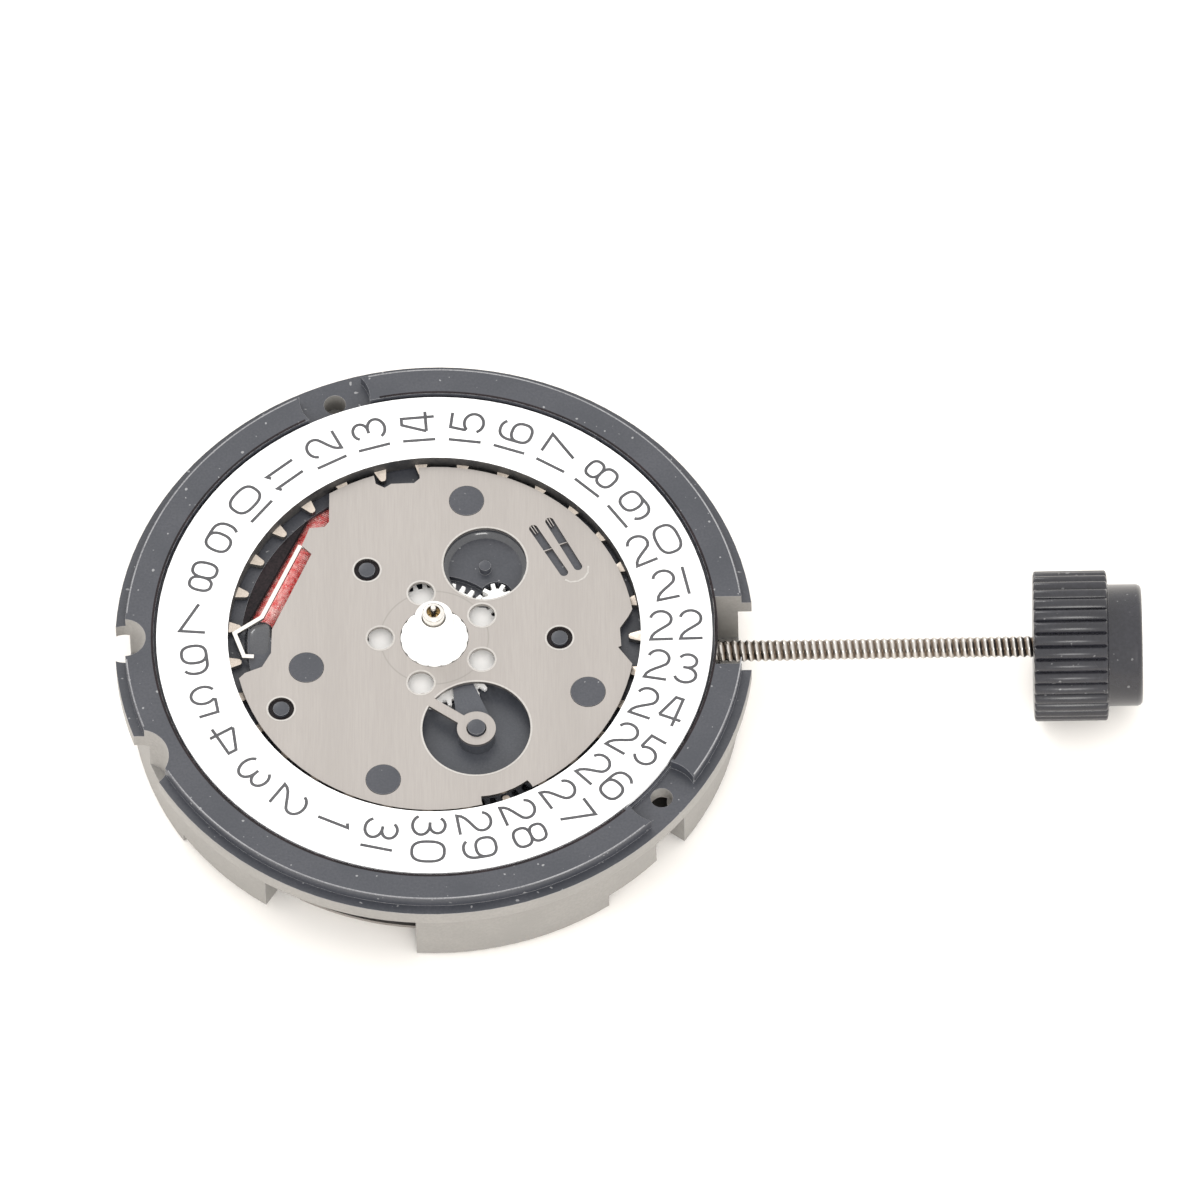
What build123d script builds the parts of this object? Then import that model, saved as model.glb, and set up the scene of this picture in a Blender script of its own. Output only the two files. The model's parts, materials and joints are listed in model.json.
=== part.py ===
from build123d import *
import math
import os

# Quartz watch movement with a date ring: the pieces that show, and the works that it holds inside.
# The hands turn about the Z axis. The dial sits on the plane z = 0, and +Z points at the dial.
# The stem and its test crown lie along +X. Lengths are millimetres and angles are degrees.

# Main plate: outer steps
FLANGE_R = 13.0
SEAT_R = 12.6
BODY_R = 12.45
WALL_T = 0.85
LEDGE_DROP = 0.52
FLANGE_T = 0.70
BODY_H = 4.56

# Date ring and its teeth
RING_OUTER_R = 11.313
RING_INNER_R = 8.406
RING_DROP = 0.10
RING_T = 0.22
COLLAR_T = 0.314
RING_TEETH = 31
TOOTH_TIP_R = 7.9
TOOTH_TIP_WIDTH = 0.27
TOOTH_ROOT_WIDTH = 0.60
TOOTH_T = 0.23
RING_PHASE = 0.5
RUN_GAP = 0.05
RING_EDGE_GAP = 0.12

# Date dial guard, the bright sheet inside the ring
GUARD_R = 8.15
GUARD_DROP = 0.42
GUARD_T = 0.15
BOSS_R = 7.6
HAND_HOLE_R = 1.40
LIGHT_HOLE_R = 0.53
LIGHT_HOLE_COUNT = 5
LIGHT_HOLE_RING_R = 2.2
LIGHT_HOLE_PHASE = 28.1
LIGHT_HOLE_STEP = 75.7
UPPER_HOLE_X = 2.08
UPPER_HOLE_Y = 3.49
UPPER_HOLE_R = 1.70
EYELET_R = 0.79
EYELET_BORE_R = 0.41
EYELET_ARM_WIDTH = 0.42
LOWER_HOLE_R = 2.2
STAKE_R = 0.70
STAKE_GAP = 0.02
PIN_R = 0.33
PIN_HOLE_R = 0.53
STAKE_RISE_H = 0.02
COIN_SLOT_WIDTH = 0.35
STAKE_SHARES = ((0.1653, 0.7982), (0.7638, -0.3290), (-0.2591, -0.8200), (-0.6398, -0.1620))
PIN_SHARES = ((-0.3351, 0.4022), (0.6248, -0.0113), (-0.7660, -0.4000))
COIN_SLOT_SHARES = (((0.499, 0.629), (0.649, 0.370)), ((0.580, 0.670), (0.720, 0.403)))
RIGHT_NOTCH_SHARES = ((1.1, 0.180), (0.995, 0.162), (0.969, 0.107), (0.926, 0.040),
                      (0.932, -0.064), (0.916, -0.071), (0.988, -0.172), (1.1, -0.190))
TOP_NOTCH_SHARES = ((-0.310, 1.02), (-0.289, 0.906), (-0.245, 0.882), (-0.212, 0.905),
                    (-0.097, 0.907), (-0.068, 0.935), (-0.075, 1.02))
COIL_WINDOW_SHARES = ((-0.520, 0.95), (-0.524, 0.688), (-0.546, 0.659), (-0.622, 0.652),
                      (-0.661, 0.549), (-0.612, 0.501), (-0.811, 0.063), (-0.816, -0.074),
                      (-0.861, -0.154), (-0.946, -0.188), (-1.0, -0.245), (-1.2, -0.245),
                      (-1.2, 0.95))

# Date jumper, the spring arm that holds each date
JUMPER_WIDTH = 0.17
JUMPER_TAB_WIDTH = 0.14
JUMPER_ROOT_SHARES = ((-0.640, 0.515), (-0.672, 0.562))
JUMPER_SHARES = ((-0.668, 0.552), (-0.861, 0.137), (-0.998, 0.045), (-0.951, -0.089), (-0.902, -0.092))
JUMPER_TAB_SHARES = ((-0.993, 0.036), (-0.960, -0.068))

# Motion works: cannon pinion, minute wheel, hour wheel and setting wheel
CANNON_TEETH = 15
MINUTE_TEETH = 32
MINUTE_LEAVES = 8
HOUR_TEETH = 45
MINUTE_PLACE_R = 3.366
MINUTE_ANGLE = 41.4
HOUR_PHASE = 66.1
MOTION_T = 0.16
MOTION_GAP = 0.08
HOUR_DROP = 0.36
HOUR_T = 0.20
HOUR_WELL_GAP = 0.30
HOUR_BOSS_R = 0.95
HOUR_PIPE_R = 0.76
HOUR_PIPE_ROOT_R = 1.15
HOUR_PIPE_TOP_Z = 1.20
HOUR_COLLAR_TEETH = 16
HOUR_COLLAR_R = 1.29
HOUR_COLLAR_T = 0.25
PIPE_R = 0.47
PIPE_BORE_R = 0.28
MINUTE_SEAT_R = 0.45
MINUTE_SEAT_H = 0.40
PIPE_TAPER_H = 0.60
PIPE_CHAMFER = 0.085
PIPE_TOP_Z = 1.65
PIPE_GAP = 0.03
POST_R = 0.24
POST_GAP = 0.025
PINION_RISE_H = 0.05

# Date work
DATE_X = 1.68
DATE_Y = -4.32
DATE_PINION_TEETH = 20
DATE_WHEEL_TEETH = 40
DATE_PINION_T = 0.29
DATE_WHEEL_T = 0.18
DATE_HUB_R = 0.75
DATE_PIN_R = 0.36
DATE_PIN_TOP_Z = -0.30
FINGER_R = 3.5
FINGER_WIDTH = 0.55
FINGER_ANGLE = 104.0
FINGER_GAP = 0.15
CORRECTOR_X = 6.75
CORRECTOR_R = 0.98
CORRECTOR_POINTS = 5
CORRECTOR_ROOT_SHARE = 0.55
CORRECTOR_PIN_R = 0.20
FLOOR_GAP = 0.06
DECK_T = 0.20

# Going train
CENTRE_TEETH = 64
THIRD_TEETH = 60
SECOND_TEETH = 50
FIFTH_TEETH = 48
LEAVES = 8
FIFTH_LEAVES = 10
THIRD_PITCH_R = 2.205
SECOND_PITCH_R = 2.125
FIFTH_PITCH_R = 1.92
THIRD_ANGLE = 200.0
FIFTH_ANGLE = 109.9
ROTOR_ANGLE = 150.0
WHEEL_T = 0.14
WHEEL_GAP = 0.10
LEAF_LENGTH = 0.22
ARBOR_R = 0.11
ARBOR_TOP_Z = 1.95
SECONDS_SEAT_R = 0.10
SECONDS_SEAT_H = 0.28
ARBOR_TAPER_H = 0.60
SLEEVE_R = 0.25
SLEEVE_BORE_R = 0.14
SLEEVE_TOP_Z = 1.05
MAGNET_R = 0.80
MAGNET_T = 0.50
PIVOT_DEPTH = 0.12

# Stepping motor: coil on its core, and the stator under it
COIL_FOOT_R = 7.0
COIL_ANGLE = 153.43
COIL_UPPER_LENGTH = 4.30
COIL_LOWER_LENGTH = 2.25
COIL_R = 1.08
CORE_WIDTH = 1.30
CORE_T = 0.40
LUG_UPPER_LENGTH = 5.70
LUG_LOWER_LENGTH = 3.90
LUG_R = 0.80
STATOR_WIDTH = 1.70
STATOR_T = 0.40
STATOR_HOLE_R = 1.0
CHEEK_T = 0.18
CHEEK_R = 1.12
BAY_GAP = 0.12
BAY_END_GAP = 0.54
LEAD_BOARD_T = 0.12

# Power: cell, contacts, board and covers
BATTERY_R = 4.75
BATTERY_H = 2.62
BATTERY_CAP_R = 4.15
BATTERY_CAP_H = 0.22
BATTERY_X = 3.20
BATTERY_Y = -6.56
POCKET_GAP = 0.08
POCKET_WALL_T = 0.20
CONTACT_T = 0.08
CLAMP_T = 0.14
CLAMP_WIDTH = 2.2
BRIDGE_T = 0.40
BOARD_T = 0.15
BOARD_EDGE_GAP = 0.40
COVER_T = 0.16
COVER_EDGE_GAP = 0.20
COVER_DROP = 0.20
CHIP_WIDTH = 2.0
CHIP_T = 0.32
CHIP_SHARES = (0.732, 0.446)
CRYSTAL_R = 0.62
CRYSTAL_LENGTH = 4.6
CRYSTAL_SHARES = (0.179, 0.768)

# Screws and the pillars that take them
SCREW_R = 0.32
SCREW_HEAD_R = 0.62
SCREW_HEAD_T = 0.26
SCREW_DEPTH = 0.9
SCREW_GAP = 0.02
SCREW_SLOT_WIDTH = 0.16
PILLAR_R = 0.75
BRIDGE_REACH_R = 6.5
BRIDGE_PILLAR_SHARES = ((-0.80, -0.60), (0.908, 0.446), (0.092, 0.954))
COVER_PILLAR_SHARES = ((0.672, 0.628), (-0.224, 0.913), (-0.762, -0.499))

# Keyless works: stem, clutch, levers and crown
STEM_DROP = 1.84
STEM_R = 0.60
STEM_BORE_GAP = 0.04
SQUARE_WIDTH = 0.52
SQUARE_START_X = 6.45
SHOULDER_X = 8.70
GROOVE_X = 8.95
GROOVE_WIDTH = 0.30
GROOVE_R = 0.36
BLOCK_X = 9.60
THREAD_START_X = 11.60
THREAD_R = 0.45
CROWN_X = 24.34
CROWN_R = 3.055
CROWN_KNURL_LENGTH = 3.05
CROWN_RIDGES = 34
CROWN_RIDGE_H = 0.19
CROWN_STEP_R = 2.48
CROWN_LENGTH = 4.44
CROWN_BORE_DEPTH = 2.6
CLUTCH_R = 0.72
CLUTCH_NECK_R = 0.46
CLUTCH_FLANGE_T = 0.50
CLUTCH_LENGTH = 1.65
CLUTCH_COLLAR_T = 0.25
BAY_HALF_WIDTH = 0.82
LEVER_T = 0.20
LEVER_DROP = 2.70
LEVER_PIN_R = 0.12
LEVER_PIVOT_R = 0.28
LEVER_BOSS_R = 0.55
LEVER_NOSE_R = 0.26
SETTING_PIVOT_X = 9.55
SETTING_PIVOT_Y = -2.50
YOKE_PIVOT_X = 7.40
YOKE_PIVOT_Y = 2.60
YOKE_PIN_X = 7.65
RESET_PIVOT_X = 5.60
RESET_PIVOT_Y = 4.20
RESET_TURN = 5.5
RESET_CONTACT_ANGLE = 40.0
RESET_STOP_GAP = 0.10

# Openings and pads in the rim
FOOT_R = 11.96
FOOT_HOLE_R = 0.45
FOOT_HOLE_DEPTH = 1.1
FOOT_PAD_R = 1.45
FOOT_ANGLES = (109.6, -40.0)
STEM_NOTCH_R = 11.4
STEM_NOTCH_HIGH_Y = 1.50
STEM_NOTCH_LOW_Y = -1.70
STEM_NOTCH_DEPTH = 3.3
SIDE_NOTCH_ANGLE = 180.1
SIDE_NOTCH_PLACE_R = 12.61
SIDE_NOTCH_R = 0.87
SIDE_SCOOP_ANGLE = -154.9
SIDE_SCOOP_PLACE_R = 13.3
SIDE_SCOOP_R = 1.25
SCOOP_FLOOR_DROP = 2.6
WALL_GAPS = ((-124.0, -94.0), (-44.3, -36.2))
SHORT_WALLS = ((-146.0, -124.0, 4.1), (-56.0, -44.3, 3.8))

# Shape of the gear teeth, in shares of the module and of the pitch
ADDENDUM_SHARE = 0.95
LEAF_ADDENDUM_SHARE = 0.70
DEDENDUM_SHARE = 1.30
WELL_SHARE = 2.0
TIP_SHARE = 0.17
ROOT_SHARE = 0.56
HALF = 0.5
OVERRUN = 1.0
STANDING = (Align.CENTER, Align.CENTER, Align.MIN)
UP = (0, 0, 1)

# Heights worked out from the sizes above
FLANGE_TOP_Z = -LEDGE_DROP
FLANGE_UNDER_Z = FLANGE_TOP_Z - FLANGE_T
BACK_Z = -BODY_H
RING_TOP_Z = -RING_DROP
RING_UNDER_Z = RING_TOP_Z - RING_T
RING_FLOOR_Z = RING_UNDER_Z - RUN_GAP
GUARD_TOP_Z = -GUARD_DROP
GUARD_UNDER_Z = GUARD_TOP_Z - GUARD_T
TOOTH_TOP_Z = GUARD_UNDER_Z - RUN_GAP
TOOTH_UNDER_Z = TOOTH_TOP_Z - TOOTH_T
COLLAR_FLOOR_Z = TOOTH_UNDER_Z - RUN_GAP
HOUR_TOP_Z = GUARD_UNDER_Z - HOUR_DROP
HOUR_UNDER_Z = HOUR_TOP_Z - HOUR_T
DATE_PINION_UNDER_Z = HOUR_UNDER_Z - DATE_PINION_T
DATE_FLOOR_Z = DATE_PINION_UNDER_Z - RUN_GAP
DATE_WHEEL_UNDER_Z = DATE_FLOOR_Z + FLOOR_GAP
DATE_WHEEL_TOP_Z = DATE_WHEEL_UNDER_Z + DATE_WHEEL_T
HOUR_FLOOR_Z = HOUR_UNDER_Z - FLOOR_GAP
DECK_UNDER_Z = DATE_FLOOR_Z - DECK_T
MOTION_TOP_Z = DECK_UNDER_Z - MOTION_GAP
MOTION_UNDER_Z = MOTION_TOP_Z - MOTION_T
CENTRE_TOP_Z = MOTION_UNDER_Z - WHEEL_GAP
CENTRE_UNDER_Z = CENTRE_TOP_Z - WHEEL_T
THIRD_TOP_Z = CENTRE_UNDER_Z - WHEEL_GAP
THIRD_UNDER_Z = THIRD_TOP_Z - WHEEL_T
STATOR_TOP_Z = THIRD_UNDER_Z - WHEEL_GAP
STATOR_UNDER_Z = STATOR_TOP_Z - STATOR_T
CORE_TOP_Z = STATOR_TOP_Z + CORE_T
COIL_Z = (CORE_TOP_Z + STATOR_TOP_Z) * HALF
SECOND_TOP_Z = THIRD_UNDER_Z - LEAF_LENGTH
SECOND_UNDER_Z = SECOND_TOP_Z - WHEEL_T
FIFTH_TOP_Z = STATOR_UNDER_Z - WHEEL_GAP
FIFTH_UNDER_Z = FIFTH_TOP_Z - WHEEL_T
BRIDGE_TOP_Z = FIFTH_UNDER_Z - LEAF_LENGTH
BRIDGE_UNDER_Z = BRIDGE_TOP_Z - BRIDGE_T
BOARD_UNDER_Z = BRIDGE_UNDER_Z - BOARD_T
BATTERY_TOP_Z = DECK_UNDER_Z - CONTACT_T
BATTERY_UNDER_Z = BATTERY_TOP_Z - BATTERY_H
CLAMP_UNDER_Z = BATTERY_UNDER_Z - CLAMP_T
COVER_UNDER_Z = BACK_Z + COVER_DROP
COVER_TOP_Z = COVER_UNDER_Z + COVER_T
STEM_Z = -STEM_DROP
LEVER_TOP_Z = -LEVER_DROP
LEVER_UNDER_Z = LEVER_TOP_Z - LEVER_T

# Radii and modules worked out from the sizes above
BAND_INNER_R = RING_OUTER_R + RING_EDGE_GAP
COLLAR_OUTER_R = RING_INNER_R + COLLAR_T
COLLAR_CHANNEL_R = COLLAR_OUTER_R + RUN_GAP + RUN_GAP
WALL_INNER_R = BODY_R - WALL_T
BOARD_R = WALL_INNER_R - BOARD_EDGE_GAP
COVER_R = WALL_INNER_R - COVER_EDGE_GAP
MOTION_MODULE = 2 * MINUTE_PLACE_R / (CANNON_TEETH + MINUTE_TEETH)
HOUR_MODULE = 2 * MINUTE_PLACE_R / (HOUR_TEETH + MINUTE_LEAVES)
HOUR_TIP_R = HOUR_MODULE * (HOUR_TEETH * HALF + ADDENDUM_SHARE)
DATE_DISTANCE = math.hypot(DATE_X, DATE_Y)
DATE_MODULE = 2 * DATE_DISTANCE / (DATE_PINION_TEETH + DATE_WHEEL_TEETH)
DATE_TIP_R = DATE_MODULE * (DATE_WHEEL_TEETH * HALF + ADDENDUM_SHARE)
DATE_POCKET_R = FINGER_R + FINGER_GAP
THIRD_MODULE = 2 * THIRD_PITCH_R / THIRD_TEETH
SECOND_MODULE = 2 * SECOND_PITCH_R / SECOND_TEETH
FIFTH_MODULE = 2 * FIFTH_PITCH_R / FIFTH_TEETH
COIL_NEAR = -COIL_LOWER_LENGTH
LUG_NEAR = -LUG_LOWER_LENGTH
THIRD_DISTANCE = THIRD_MODULE * (THIRD_TEETH + LEAVES) * HALF
CENTRE_MODULE = 2 * THIRD_DISTANCE / (CENTRE_TEETH + LEAVES)
FIFTH_DISTANCE = SECOND_MODULE * (SECOND_TEETH + FIFTH_LEAVES) * HALF
ROTOR_DISTANCE = FIFTH_MODULE * (FIFTH_TEETH + LEAVES) * HALF
FIFTH_TIP_R = FIFTH_MODULE * (FIFTH_TEETH * HALF + ADDENDUM_SHARE)


def polar(radius, angle, about=(0.0, 0.0)):
    """Return the point at a radius and an angle from a centre."""
    turn = math.radians(angle)
    return (about[0] + radius * math.cos(turn), about[1] + radius * math.sin(turn))


def sized(shares, size):
    """Return the points that shares of one size stand for."""
    return [(across * size, along * size) for across, along in shares]


HUB = (0.0, 0.0)
DATE_AT = (DATE_X, DATE_Y)
BATTERY_AT = (BATTERY_X, BATTERY_Y)
MINUTE_AT = polar(MINUTE_PLACE_R, MINUTE_ANGLE)
SETTING_AT = (2 * MINUTE_AT[0], 0.0)
THIRD_AT = polar(THIRD_DISTANCE, THIRD_ANGLE)
FIFTH_AT = polar(FIFTH_DISTANCE, FIFTH_ANGLE)
ROTOR_AT = polar(ROTOR_DISTANCE, ROTOR_ANGLE, FIFTH_AT)
CHIP_AT = (CHIP_SHARES[0] * BOARD_R, CHIP_SHARES[1] * BOARD_R)
CRYSTAL_AT = (CRYSTAL_SHARES[0] * BOARD_R, CRYSTAL_SHARES[1] * BOARD_R)
BRIDGE_PILLARS = sized(BRIDGE_PILLAR_SHARES, BRIDGE_REACH_R)
COVER_PILLARS = sized(COVER_PILLAR_SHARES, WALL_INNER_R)


def mesh_phase(phase, teeth, angle, other_teeth):
    """Return the phase of a wheel whose gap takes the tooth of its neighbour at an angle.

    The neighbour has a tooth at its phase, and the angle runs from its centre to the other's.
    """
    pitch = 360 / teeth
    other_pitch = 360 / other_teeth
    lead = (angle - phase) / pitch
    return angle + 180 - (HALF - lead) * other_pitch


CANNON_PHASE = MINUTE_ANGLE
MINUTE_PHASE = mesh_phase(CANNON_PHASE, CANNON_TEETH, MINUTE_ANGLE, MINUTE_TEETH)
SETTING_PHASE = mesh_phase(MINUTE_PHASE, MINUTE_TEETH, -MINUTE_ANGLE, CANNON_TEETH)
MINUTE_LEAF_PHASE = mesh_phase(HOUR_PHASE, HOUR_TEETH, MINUTE_ANGLE, MINUTE_LEAVES)
DATE_ANGLE = math.degrees(math.atan2(DATE_Y, DATE_X))
DATE_PHASE = mesh_phase(DATE_ANGLE, DATE_PINION_TEETH, DATE_ANGLE, DATE_WHEEL_TEETH)
THIRD_PHASE = mesh_phase(THIRD_ANGLE, LEAVES, THIRD_ANGLE, THIRD_TEETH)
CENTRE_PHASE = mesh_phase(THIRD_ANGLE, LEAVES, THIRD_ANGLE + 180, CENTRE_TEETH)
FIFTH_LEAF_PHASE = mesh_phase(FIFTH_ANGLE, SECOND_TEETH, FIFTH_ANGLE, FIFTH_LEAVES)
ROTOR_PHASE = mesh_phase(ROTOR_ANGLE, FIFTH_TEETH, ROTOR_ANGLE, LEAVES)


def disc(radius, low, high, at=HUB):
    """Return an upright cylinder between two heights."""
    return Pos(at[0], at[1], low) * Cylinder(radius, high - low, align=STANDING)


def tube(outer, inner, low, high, at=HUB):
    """Return an upright ring between two heights."""
    return disc(outer, low, high, at) - disc(inner, low, high, at)


def taper(low_r, high_r, low, high):
    """Return a cone about the hands' axis, with a radius at each of its two heights."""
    return Pos(0, 0, low) * Cone(low_r, high_r, high - low, align=STANDING)


def slab(outline, low, high):
    """Return a flat outline as a plate between two heights."""
    return Pos(0, 0, low) * extrude(outline, amount=high - low, dir=UP)


def polygon(points):
    """Return the face inside a closed line through some points."""
    return make_face(Polyline(*points, close=True))


def sector(inner, outer, start, end):
    """Return the flat piece of a ring between two angles."""
    middle = (start + end) * HALF
    edges = [
        ThreePointArc(polar(outer, start), polar(outer, middle), polar(outer, end)),
        Line(polar(outer, end), polar(inner, end)),
        ThreePointArc(polar(inner, end), polar(inner, middle), polar(inner, start)),
        Line(polar(inner, start), polar(outer, start)),
    ]
    return make_face(edges)


def link(start, start_r, end, end_r):
    """Return a bar with two round ends of their own radii."""
    ends = Pos(*start) * Circle(start_r) + Pos(*end) * Circle(end_r)
    return make_hull(ends.edges())


def toothed(teeth, module, phase, at=HUB, addendum_share=ADDENDUM_SHARE):
    """Return the outline of a gear with a tooth at the phase angle."""
    pitch = 360 / teeth
    root_r = module * (teeth * HALF - DEDENDUM_SHARE)
    tip_r = module * (teeth * HALF + addendum_share)
    points = []
    for index in range(teeth):
        middle = phase + index * pitch
        points.append(polar(root_r, middle - ROOT_SHARE * pitch * HALF, at))
        points.append(polar(tip_r, middle - TIP_SHARE * pitch, at))
        points.append(polar(tip_r, middle + TIP_SHARE * pitch, at))
        points.append(polar(root_r, middle + ROOT_SHARE * pitch * HALF, at))
    return polygon(points)


def leaves(teeth, module, phase, at=HUB):
    """Return the outline of a pinion, whose leaves are shorter than a wheel's teeth."""
    return toothed(teeth, module, phase, at, LEAF_ADDENDUM_SHARE)


def along_stem(radius, start, end):
    """Return a cylinder on the stem's axis between two places on it."""
    lying = Rot(0, 90, 0) * Cylinder(radius, end - start, align=STANDING)
    return Pos(start, 0, STEM_Z) * lying


def coil_point(along, across):
    """Return a point given along the coil's axis, and across it towards the hands' axis."""
    foot = polar(COIL_FOOT_R, COIL_ANGLE)
    lengthwise = polar(along, COIL_ANGLE - 90)
    inward = polar(across, COIL_ANGLE + 180)
    return (foot[0] + lengthwise[0] + inward[0], foot[1] + lengthwise[1] + inward[1])


def coil_box(along_low, along_high, across_low, across_high):
    """Return a rectangle that lies along the coil."""
    corners = [(along_low, across_low), (along_high, across_low)]
    corners += [(along_high, across_high), (along_low, across_high)]
    return polygon([coil_point(along, across) for along, across in corners])


def along_coil(radius, start, end):
    """Return a cylinder on the coil's axis."""
    lying = Rot(0, 90, 0) * Cylinder(radius, end - start, align=STANDING)
    foot = coil_point(start, 0.0)
    return Pos(foot[0], foot[1], COIL_Z) * (Rot(0, 0, COIL_ANGLE - 90) * lying)


def plate_blank():
    """Return the main plate as it is turned, before its pockets."""
    profile = [
        (0.0, GUARD_UNDER_Z), (BOSS_R, GUARD_UNDER_Z), (BOSS_R, COLLAR_FLOOR_Z),
        (COLLAR_CHANNEL_R, COLLAR_FLOOR_Z), (COLLAR_CHANNEL_R, RING_FLOOR_Z),
        (BAND_INNER_R, RING_FLOOR_Z), (BAND_INNER_R, 0.0), (SEAT_R, 0.0),
        (SEAT_R, FLANGE_TOP_Z), (FLANGE_R, FLANGE_TOP_Z), (FLANGE_R, FLANGE_UNDER_Z),
        (BODY_R, FLANGE_UNDER_Z), (BODY_R, BACK_Z), (WALL_INNER_R, BACK_Z),
        (WALL_INNER_R, DECK_UNDER_Z), (0.0, DECK_UNDER_Z),
    ]
    return revolve(Plane.XZ * polygon(profile), axis=Axis.Z)


def dial_side_pockets():
    """Return what is cut from the dial side: the wells of the wheels that lie under the guard."""
    top = GUARD_UNDER_Z + OVERRUN
    hour_well = disc(HOUR_TIP_R + HOUR_WELL_GAP, HOUR_FLOOR_Z, top)
    pinion_well = disc(DATE_MODULE * (DATE_PINION_TEETH * HALF + WELL_SHARE), DATE_FLOOR_Z, top)
    date_well = disc(DATE_POCKET_R, DATE_FLOOR_Z, top, DATE_AT)
    upper_well = disc(UPPER_HOLE_R + WHEEL_GAP, HOUR_TOP_Z, top, (UPPER_HOLE_X, UPPER_HOLE_Y))
    star_well = disc(CORRECTOR_R + WHEEL_GAP, COLLAR_FLOOR_Z, top, (CORRECTOR_X, 0.0))
    return hour_well + pinion_well + date_well + upper_well + star_well


def coil_bay():
    """Return the bay for the coil: open through the boss, and blind under the ring's channel."""
    reach = COIL_R + BAY_GAP
    plan = coil_box(COIL_NEAR - BAY_END_GAP, COIL_UPPER_LENGTH + BAY_END_GAP, -reach, reach)
    blind = slab(plan, DECK_UNDER_Z - OVERRUN, COIL_Z + CHEEK_R + FLOOR_GAP)
    window = slab(plan & Circle(TOOTH_TIP_R), DECK_UNDER_Z - OVERRUN, GUARD_UNDER_Z + OVERRUN)
    return blind + window


def shaft_holes():
    """Return the holes in the deck for the cannon pinion's pipe and the minute pinion."""
    top = GUARD_UNDER_Z + OVERRUN
    pinion_r = HOUR_MODULE * (MINUTE_LEAVES * HALF + LEAF_ADDENDUM_SHARE) + WHEEL_GAP
    pipe_hole = disc(PIPE_R + PIPE_GAP, DECK_UNDER_Z - OVERRUN, top)
    return pipe_hole + disc(pinion_r, DECK_UNDER_Z - OVERRUN, top, MINUTE_AT)


def rim_cuts():
    """Return what is cut from the rim: dial-foot pads and holes, the stem's notch and the scoops."""
    cuts = []
    for angle in FOOT_ANGLES:
        place = polar(FOOT_R, angle)
        pad = Pos(*place) * Circle(FOOT_PAD_R) - Circle(BAND_INNER_R)
        cuts.append(slab(pad, FLANGE_TOP_Z, OVERRUN))
        cuts.append(disc(FOOT_HOLE_R, FLANGE_TOP_Z - FOOT_HOLE_DEPTH, OVERRUN, place))
    notch_mid = (STEM_NOTCH_HIGH_Y + STEM_NOTCH_LOW_Y) * HALF
    notch = Pos(STEM_NOTCH_R, notch_mid, -STEM_NOTCH_DEPTH) * Box(
        FLANGE_R, STEM_NOTCH_HIGH_Y - STEM_NOTCH_LOW_Y, STEM_NOTCH_DEPTH + OVERRUN,
        align=(Align.MIN, Align.CENTER, Align.MIN))
    cuts.append(notch)
    side_notch = polar(SIDE_NOTCH_PLACE_R, SIDE_NOTCH_ANGLE)
    cuts.append(disc(SIDE_NOTCH_R, -SCOOP_FLOOR_DROP, OVERRUN, side_notch))
    side_scoop = polar(SIDE_SCOOP_PLACE_R, SIDE_SCOOP_ANGLE)
    cuts.append(disc(SIDE_SCOOP_R, -SCOOP_FLOOR_DROP, OVERRUN, side_scoop))
    return cuts


def wall_cuts():
    """Return what is cut from the body's wall under the flange: two gaps and two short stretches."""
    inner = WALL_INNER_R - WALL_T
    outer = FLANGE_R + OVERRUN
    cuts = []
    for start, end in WALL_GAPS:
        cuts.append(slab(sector(inner, outer, start, end), BACK_Z - OVERRUN, FLANGE_UNDER_Z))
    for start, end, depth in SHORT_WALLS:
        cuts.append(slab(sector(inner, outer, start, end), BACK_Z - OVERRUN, -depth))
    return cuts


def battery_wall():
    """Return the low wall round the cell, open where the train comes close."""
    inner = BATTERY_R + POCKET_GAP
    wall = tube(inner + POCKET_WALL_T, inner, BATTERY_UNDER_Z, DECK_UNDER_Z, BATTERY_AT)
    train = disc(CENTRE_MODULE * CENTRE_TEETH * HALF + POCKET_WALL_T * 2, BATTERY_UNDER_Z, DECK_UNDER_Z)
    return (wall & disc(BODY_R, BATTERY_UNDER_Z, DECK_UNDER_Z)) - train


def keyless_block():
    """Return the block that the stem runs through, between the keyless bay and the wall."""
    half_width = STEM_R + WALL_T * HALF
    foot = LEVER_TOP_Z + WHEEL_GAP
    block = Pos(BLOCK_X, 0, foot) * Box(
        STEM_NOTCH_R - BLOCK_X, half_width * 2, DECK_UNDER_Z - foot,
        align=(Align.MIN, Align.CENTER, Align.MIN))
    return block


def keyless_cuts():
    """Return the bay that the clutch wheel turns in, and the stem's bore."""
    bay_start = SQUARE_START_X - WHEEL_GAP
    bay_floor = Pos(bay_start, 0, DECK_UNDER_Z - OVERRUN) * Box(
        BLOCK_X - bay_start, BAY_HALF_WIDTH * 2, OVERRUN + DECK_UNDER_Z - STEM_Z,
        align=(Align.MIN, Align.CENTER, Align.MIN))
    bore = along_stem(STEM_R + STEM_BORE_GAP, BLOCK_X - OVERRUN, STEM_NOTCH_R + OVERRUN)
    return [along_stem(BAY_HALF_WIDTH, bay_start, BLOCK_X), bay_floor, bore]


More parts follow.
